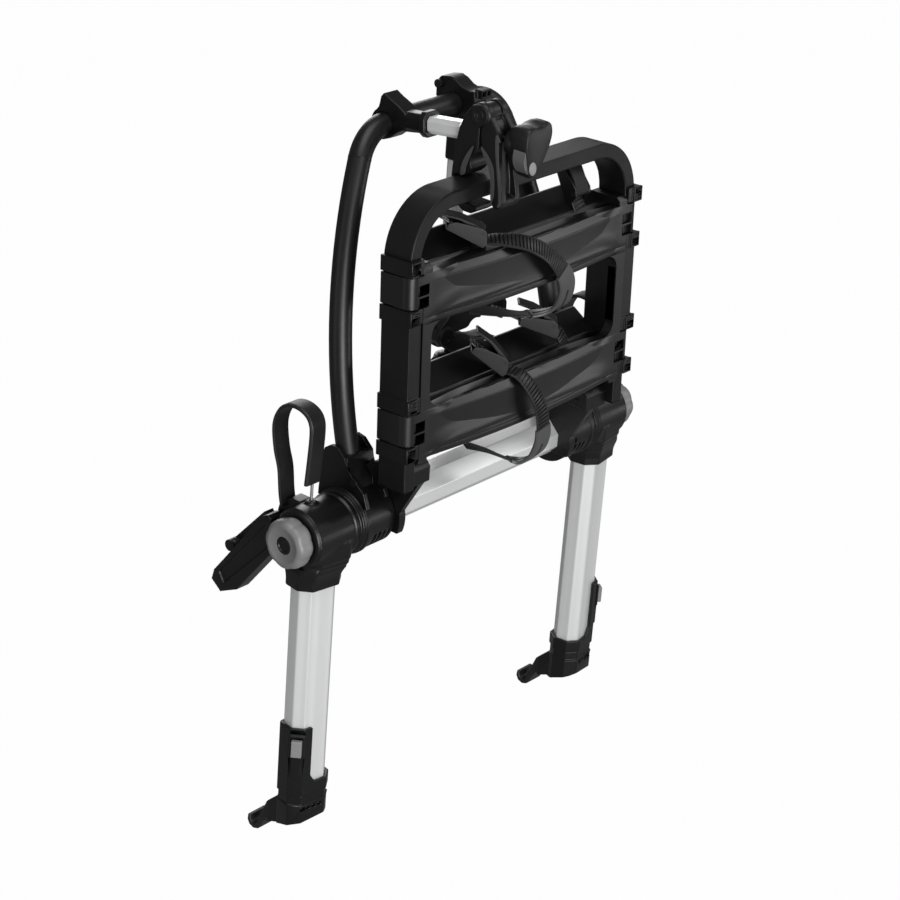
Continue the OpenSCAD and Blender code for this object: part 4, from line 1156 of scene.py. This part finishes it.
@dataclass
class FrameHolder(Assembly):
    """One frame holder: arm, claw body, front jaw and heart-shaped knob.

    Attributes:
        name: front or rear.
        frame: The claw's own frame, with the jaws hanging down.
        claw_body: The body of the claw's fixed half.
        knob_z: Height of the knob's screw below the pivot.
    """

    name: str
    frame: Matrix
    claw_body: str
    knob_z: float = -27.0

    def build(self) -> None:
        """Rounds the arm and the claw, and builds the jaw, the pivot's caps and the knob."""
        self.kit.soften("holder_arm_" + self.name, "lengthwise" if self.name == "front" else "upright", 1.2)
        self.kit.remould("claw_body_" + self.name, "jaw", 0.9, 6, 9000)
        self.jaw()
        self.caps()
        self.knob()
        if self.name == "front":
            self.crescents()

    def jaw(self) -> None:
        """Builds the moving jaw: two side rails with a channel between them, and their grey bands."""
        rails = rounded([(-22, -8), (-12, 2), (-5, -13), (-1.5, -18), (-2.5, -30), (-6, -42), (-14, -54),
                         (-21, -69), (-25, -85), (-26.5, -105), (-31, -112.5), (-39, -112), (-44.5, -104),
                         (-42, -88), (-37.5, -70), (-33, -50), (-31, -30), (-29, -18)])
        web = rounded([(-20, -12), (-12, -4), (-3, -18), (-6, -42), (-20, -69), (-25, -95), (-29, -106),
                       (-33, -104), (-33, -84), (-29, -62), (-25, -40), (-23, -24)])
        toe = rounded([(-30, -98), (-28, -110), (-33, -113), (-41, -111), (-43, -102)])
        bm = bmesh.new()
        for outline, low, high in ((rails, -17.0, -9.0), (rails, 9.0, 17.0), (web, -10.0, 10.0),
                                   (ring_points(13.0), -8.0, 8.0), (toe, -17.0, 17.0)):
            add_prism(bm, outline, low, high, self.frame)
        self.kit.melt_shells(bm, f"claw_jaw_{self.name}_rails", "jaw", "claw_jaw_" + self.name, 0.8, 9, 9000)
        band = rounded([(-33.5, -27), (-30.6, -28), (-32.6, -50), (-36.6, -70), (-40.4, -88), (-43.0, -102),
                        (-41.0, -108), (-37.0, -109.5), (-38.0, -104), (-38.0, -98), (-35.0, -80),
                        (-30.0, -55), (-27.0, -36), (-26.0, -22), (-28.0, -19)])
        for sign, tag in NEAR_AND_FAR:
            low, high = sorted((sign * 16.0, sign * 17.8))
            self.kit.prism(f"claw_jaw_{self.name}_band_{tag}", self.frame, band, low, high, "insert",
                    "jaw_" + self.name, 0.5)

    def crescents(self) -> None:
        """Adds the grey soft inserts on the inner edges of both jaws."""
        fixed = rounded([(6.5, -41), (11.5, -47), (17, -56), (21, -65), (23.2, -74), (23.2, -83), (17.5, -80),
                         (16, -72), (13, -62), (9, -51)])
        moving = rounded([(-4.2, -39.5), (-12, -44.5), (-20, -52.5), (-26, -62.5), (-29.2, -80), (-29.8, -97),
                          (-27, -106.5), (-25, -98), (-24, -84), (-20.4, -68), (-14.5, -56.5), (-8, -48)])
        for sign, tag in NEAR_AND_FAR:
            for name, outline, inner, outer, body in (("claw", fixed, 18.4, 20.3, self.claw_body),
                                                      ("jaw", moving, 16.2, 17.9, "jaw_front")):
                low, high = sorted((sign * inner, sign * outer))
                self.kit.prism(f"{name}_front_crescent_{tag}", self.frame, outline, low, high, "insert",
                               body, 0.5)

    def caps(self) -> None:
        """Adds a stepped cap with a hexagon socket on both ends of the claw's pivot."""
        cap = [(3.4, 0.2), (3.4, 2.2), (4.0, 2.8), (5.4, 2.8), (5.9, 2.0), (7.0, 2.0), (7.5, 3.0),
               (12.0, 3.2), (13.0, 2.4), (13.2, -0.4), (0.0, -0.4)]
        socket = [(3.3, 0.3), (3.3, 2.0), (2.0, 2.0), (2.0, 0.3)]
        for sign, tag in NEAR_AND_FAR:
            at = moved(self.frame, (sign * 17.6, 0.0, 0.0), sign * 90.0, "Y")
            self.kit.lathe(f"claw_{self.name}_cap_{tag}", at, cap, "jaw", self.claw_body)
            self.kit.lathe(f"claw_{self.name}_socket_{tag}", at, socket, "dark_steel", self.claw_body, 6,
                           20.0)

    def knob(self) -> None:
        """Builds the heart-shaped knob as a stack of outlines, with its neck, lens and oval spot."""
        body, title = "knob_" + self.name, "claw_knob_" + self.name
        at = moved(self.frame, (0.0, 0.0, self.knob_z), 90.0, "X")
        heart = [(-18, 16), (-13, 24), (-4, 26.5), (4, 24.6), (12, 26), (21, 29.5), (29, 27), (32.5, 16),
                 (30, 3), (25, -9), (18, -22), (11, -32), (4, -38), (-2, -39), (-8, -34), (-12, -24),
                 (-15, -12), (-18, 2)]
        layers = [(0.6, 38.0), (0.78, 42.0), (0.92, 48.0), (0.985, 54.0), (1.0, 60.0), (1.0, 69.0),
                  (0.99, 72.4), (0.965, 74.6), (0.93, 75.6), (0.89, 75.8), (0.6, 76.4), (0.3, 76.6)]
        ring = [Vector((x, y, 0.0)) for x, y in heart]
        loop = smooth_line(ring + [ring[0]], 4)[:-1]
        middle = 4.0
        bm = bmesh.new()
        rows = [[bm.verts.new((middle + (p.x - middle) * size, p.y * size, height)) for p in loop]
                for size, height in layers]
        join_rows(bm, rows)
        bm.faces.new(rows[0][::-1])
        bm.faces.new(rows[-1])
        self.kit.add(bm, title + "_heart", at, "knob", body, [title], 50.0, False)
        neck = [(0.0, 12.5), (4.0, 12.5), (4.0, 36.0), (13.0, 36.5), (17.0, 38.5), (18.5, 43.0), (17.0, 50.0),
                (0.0, 52.0)]
        self.kit.lathe(title + "_neck", at, neck, "black", body)
        flat = at @ ON_END
        lens = rounded([(-17.6, -2), (-15, -8), (-12.6, -16), (-9.6, -25), (-6, -32), (-10, -31),
                        (-15.5, -24), (-19, -14)])
        self.kit.prism(title + "_lens", flat, lens, 56.0, 74.0, "lens", body, 0.8)
        for i in range(9):
            y, z = -17.8 + 9.0 * i / 8, -8.0 - 21.0 * i / 8
            rib = [(y - 1.6, z - 0.45), (y + 2.0, z - 1.3), (y + 2.0, z - 0.5), (y - 1.6, z + 0.35)]
            self.kit.prism(f"{title}_rib_{i}", flat, rib, 73.0, 74.6, "lens", body, 0.0)
        badge = moved(at, (-3.0, -25.0, 76.0), math.degrees(0.3)) @ Matrix.Diagonal((0.72, 1.0, 1.0, 1.0))
        spot = [(9.0, -4.0), (9.0, 0.4), (8.2, 1.0), (6.6, 1.1), (6.2, 0.6), (0.0, 0.6)]
        self.kit.lathe(title + "_spot", badge, spot, "pale", body)


# Studio


@dataclass(frozen=True)
class Softbox:
    """One soft area lamp.

    Attributes:
        name: The lamp's name.
        at: Its place in metres.
        aim: The point that it looks at.
        wide: Its width.
        tall: Its height.
        power: Its power in watts.
    """

    name: str
    at: Point
    aim: Point
    wide: float
    tall: float
    power: float

    def build(self) -> None:
        """Adds the lamp to the scene."""
        data = bpy.data.lights.new(self.name, "AREA")
        data.shape = "RECTANGLE"
        data.size, data.size_y, data.energy = self.wide, self.tall, self.power
        turn = (Vector(self.aim) - Vector(self.at)).to_track_quat("-Z", "Y").to_matrix().to_4x4()
        add_object(self.name, data).matrix_world = Matrix.Translation(self.at) @ turn


SOFTBOXES = (
    Softbox("overhead softbox", (-0.7, -0.5, 3.0), (0.0, 0.0, 0.5), 1.6, 2.2, 32.0),
    Softbox("key", (-1.5, -2.9, 0.9), (0.0, 0.0, 0.45), 1.5, 1.8, 90.0),
    Softbox("left strip", (-3.0, 0.6, 0.9), (0.0, 0.0, 0.4), 0.8, 2.6, 7.0),
    Softbox("low right softbox", (2.26, -2.3, 0.36), (0.0, -0.1, 0.6), 1.5, 0.42, 9.5),
    Softbox("high right softbox", (2.1, -1.5, 2.2), (0.0, -0.1, 0.6), 1.2, 1.2, 14.0),
    Softbox("rear rim", (1.8, 2.2, 1.6), (0.0, 0.0, 0.5), 1.2, 2.2, 26.0),
)


@dataclass
class Studio:
    """The floor, the lamps and the camera at the photograph's place.

    Attributes:
        camera_at: The camera's place in metres.
        right: The camera's own X direction.
        up: Its Y direction; not used, since the camera's Y is worked out from the other two.
        back: Its Z direction.
        lens: Its focal length for a sensor 36 mm wide.
        floor_z: Height of the floor.
        floor_tone: Its colour.
        floor_glow: Share of plain white in what the camera sees of it.
        dim: The world's strength as a light.
    """

    camera_at: Point = (-2.48712, -2.0522, 1.96322)
    right: Point = (0.651, -0.756, 0.070)
    up: Point = (0.278, 0.323, 0.905)
    back: Point = (-0.706, -0.570, 0.420)
    lens: float = 104.0
    floor_z: float = -0.112
    floor_tone: float = 0.3
    floor_glow: float = 0.985
    dim: float = 0.16

    def build(self) -> None:
        """Sets the stage."""
        scene = bpy.context.scene
        scene.view_settings.view_transform = "Standard"
        self.camera(scene)
        self.world(scene)
        self.floor()
        for softbox in SOFTBOXES:
            softbox.build()

    def camera(self, scene: Scene) -> None:
        """Adds the camera.

        Args:
            scene: The scene that looks through it.
        """
        data = bpy.data.cameras.new("camera")
        data.lens = self.lens
        data.sensor_width = 36.0
        data.clip_end = 50.0
        x, z = Vector(self.right).normalized(), Vector(self.back).normalized()
        y = z.cross(x).normalized()
        turn = Matrix((y.cross(z), y, z)).transposed().to_4x4()
        scene.camera = add_object("camera", data)
        scene.camera.matrix_world = Matrix.Translation(self.camera_at) @ turn

    def world(self, scene: Scene) -> None:
        """Makes the world white to camera and transmission rays, and a dim grey as a light.

        Args:
            scene: The scene that gets the world.
        """
        world = bpy.data.worlds.new("studio")
        scene.world = world
        world.use_nodes = True
        tree = world.node_tree
        back = tree.nodes["Background"]
        back.inputs["Color"].default_value = (1.0, 1.0, 1.0, 1.0)
        path = add_node(tree, "ShaderNodeLightPath")
        most = add_node(tree, "ShaderNodeMath", operation="MAXIMUM")
        level = add_node(tree, "ShaderNodeMapRange", in_3=self.dim, in_4=1.0)
        link = tree.links.new
        link(path.outputs["Is Camera Ray"], most.inputs[0])
        link(path.outputs["Is Transmission Ray"], most.inputs[1])
        link(most.outputs[0], level.inputs[0])
        link(level.outputs[0], back.inputs["Strength"])

    def floor(self) -> None:
        """Adds the pale floor, which is white to the camera apart from a faint shadow."""
        material = bpy.data.materials.new("pale floor")
        material.use_nodes = True
        tree = material.node_tree
        shader = tree.nodes["Principled BSDF"]
        shader.inputs["Base Color"].default_value = [self.floor_tone] * 3 + [1.0]
        shader.inputs["Roughness"].default_value = 0.9
        glow = add_node(tree, "ShaderNodeEmission", in_1=1.0)
        path = add_node(tree, "ShaderNodeLightPath")
        share = add_node(tree, "ShaderNodeMapRange", in_3=0.0, in_4=self.floor_glow)
        mix = add_node(tree, "ShaderNodeMixShader")
        link = tree.links.new
        link(path.outputs["Is Camera Ray"], share.inputs[0])
        link(share.outputs[0], mix.inputs[0])
        link(shader.outputs[0], mix.inputs[1])
        link(glow.outputs[0], mix.inputs[2])
        link(mix.outputs[0], tree.nodes["Material Output"].inputs["Surface"])
        bm = bmesh.new()
        bmesh.ops.create_grid(bm, x_segments=4, y_segments=4, size=12.0)
        bm.transform(Matrix.Translation((0.0, 0.0, self.floor_z)))
        mesh = mesh_from(bm, "floor")
        mesh.materials.append(material)
        add_object("floor", mesh)


def main() -> None:
    """Builds the rack's sub-assemblies in order, then the studio."""
    logging.basicConfig(level=logging.INFO, format="%(message)s")
    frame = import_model()
    kit = Builder(frame, Finishes())
    MainFrame(kit).build()
    for side in Side:
        Leg(kit, side).build()
    Platform(kit).build()
    front = moved(TUBE_FRAME, (-79.0, -64.0, 534.0))
    rear = moved(moved(TUBE_FRAME, (44.0, ARCH_SETBACK, 155.0), -90.0), (0.0, 0.0, 0.0), 90.0, "X")
    FrameHolder(kit, "front", front, "platform").build()
    FrameHolder(kit, "rear", rear, "rear_holder").build()
    Studio().build()


if __name__ == "__main__":
    main()
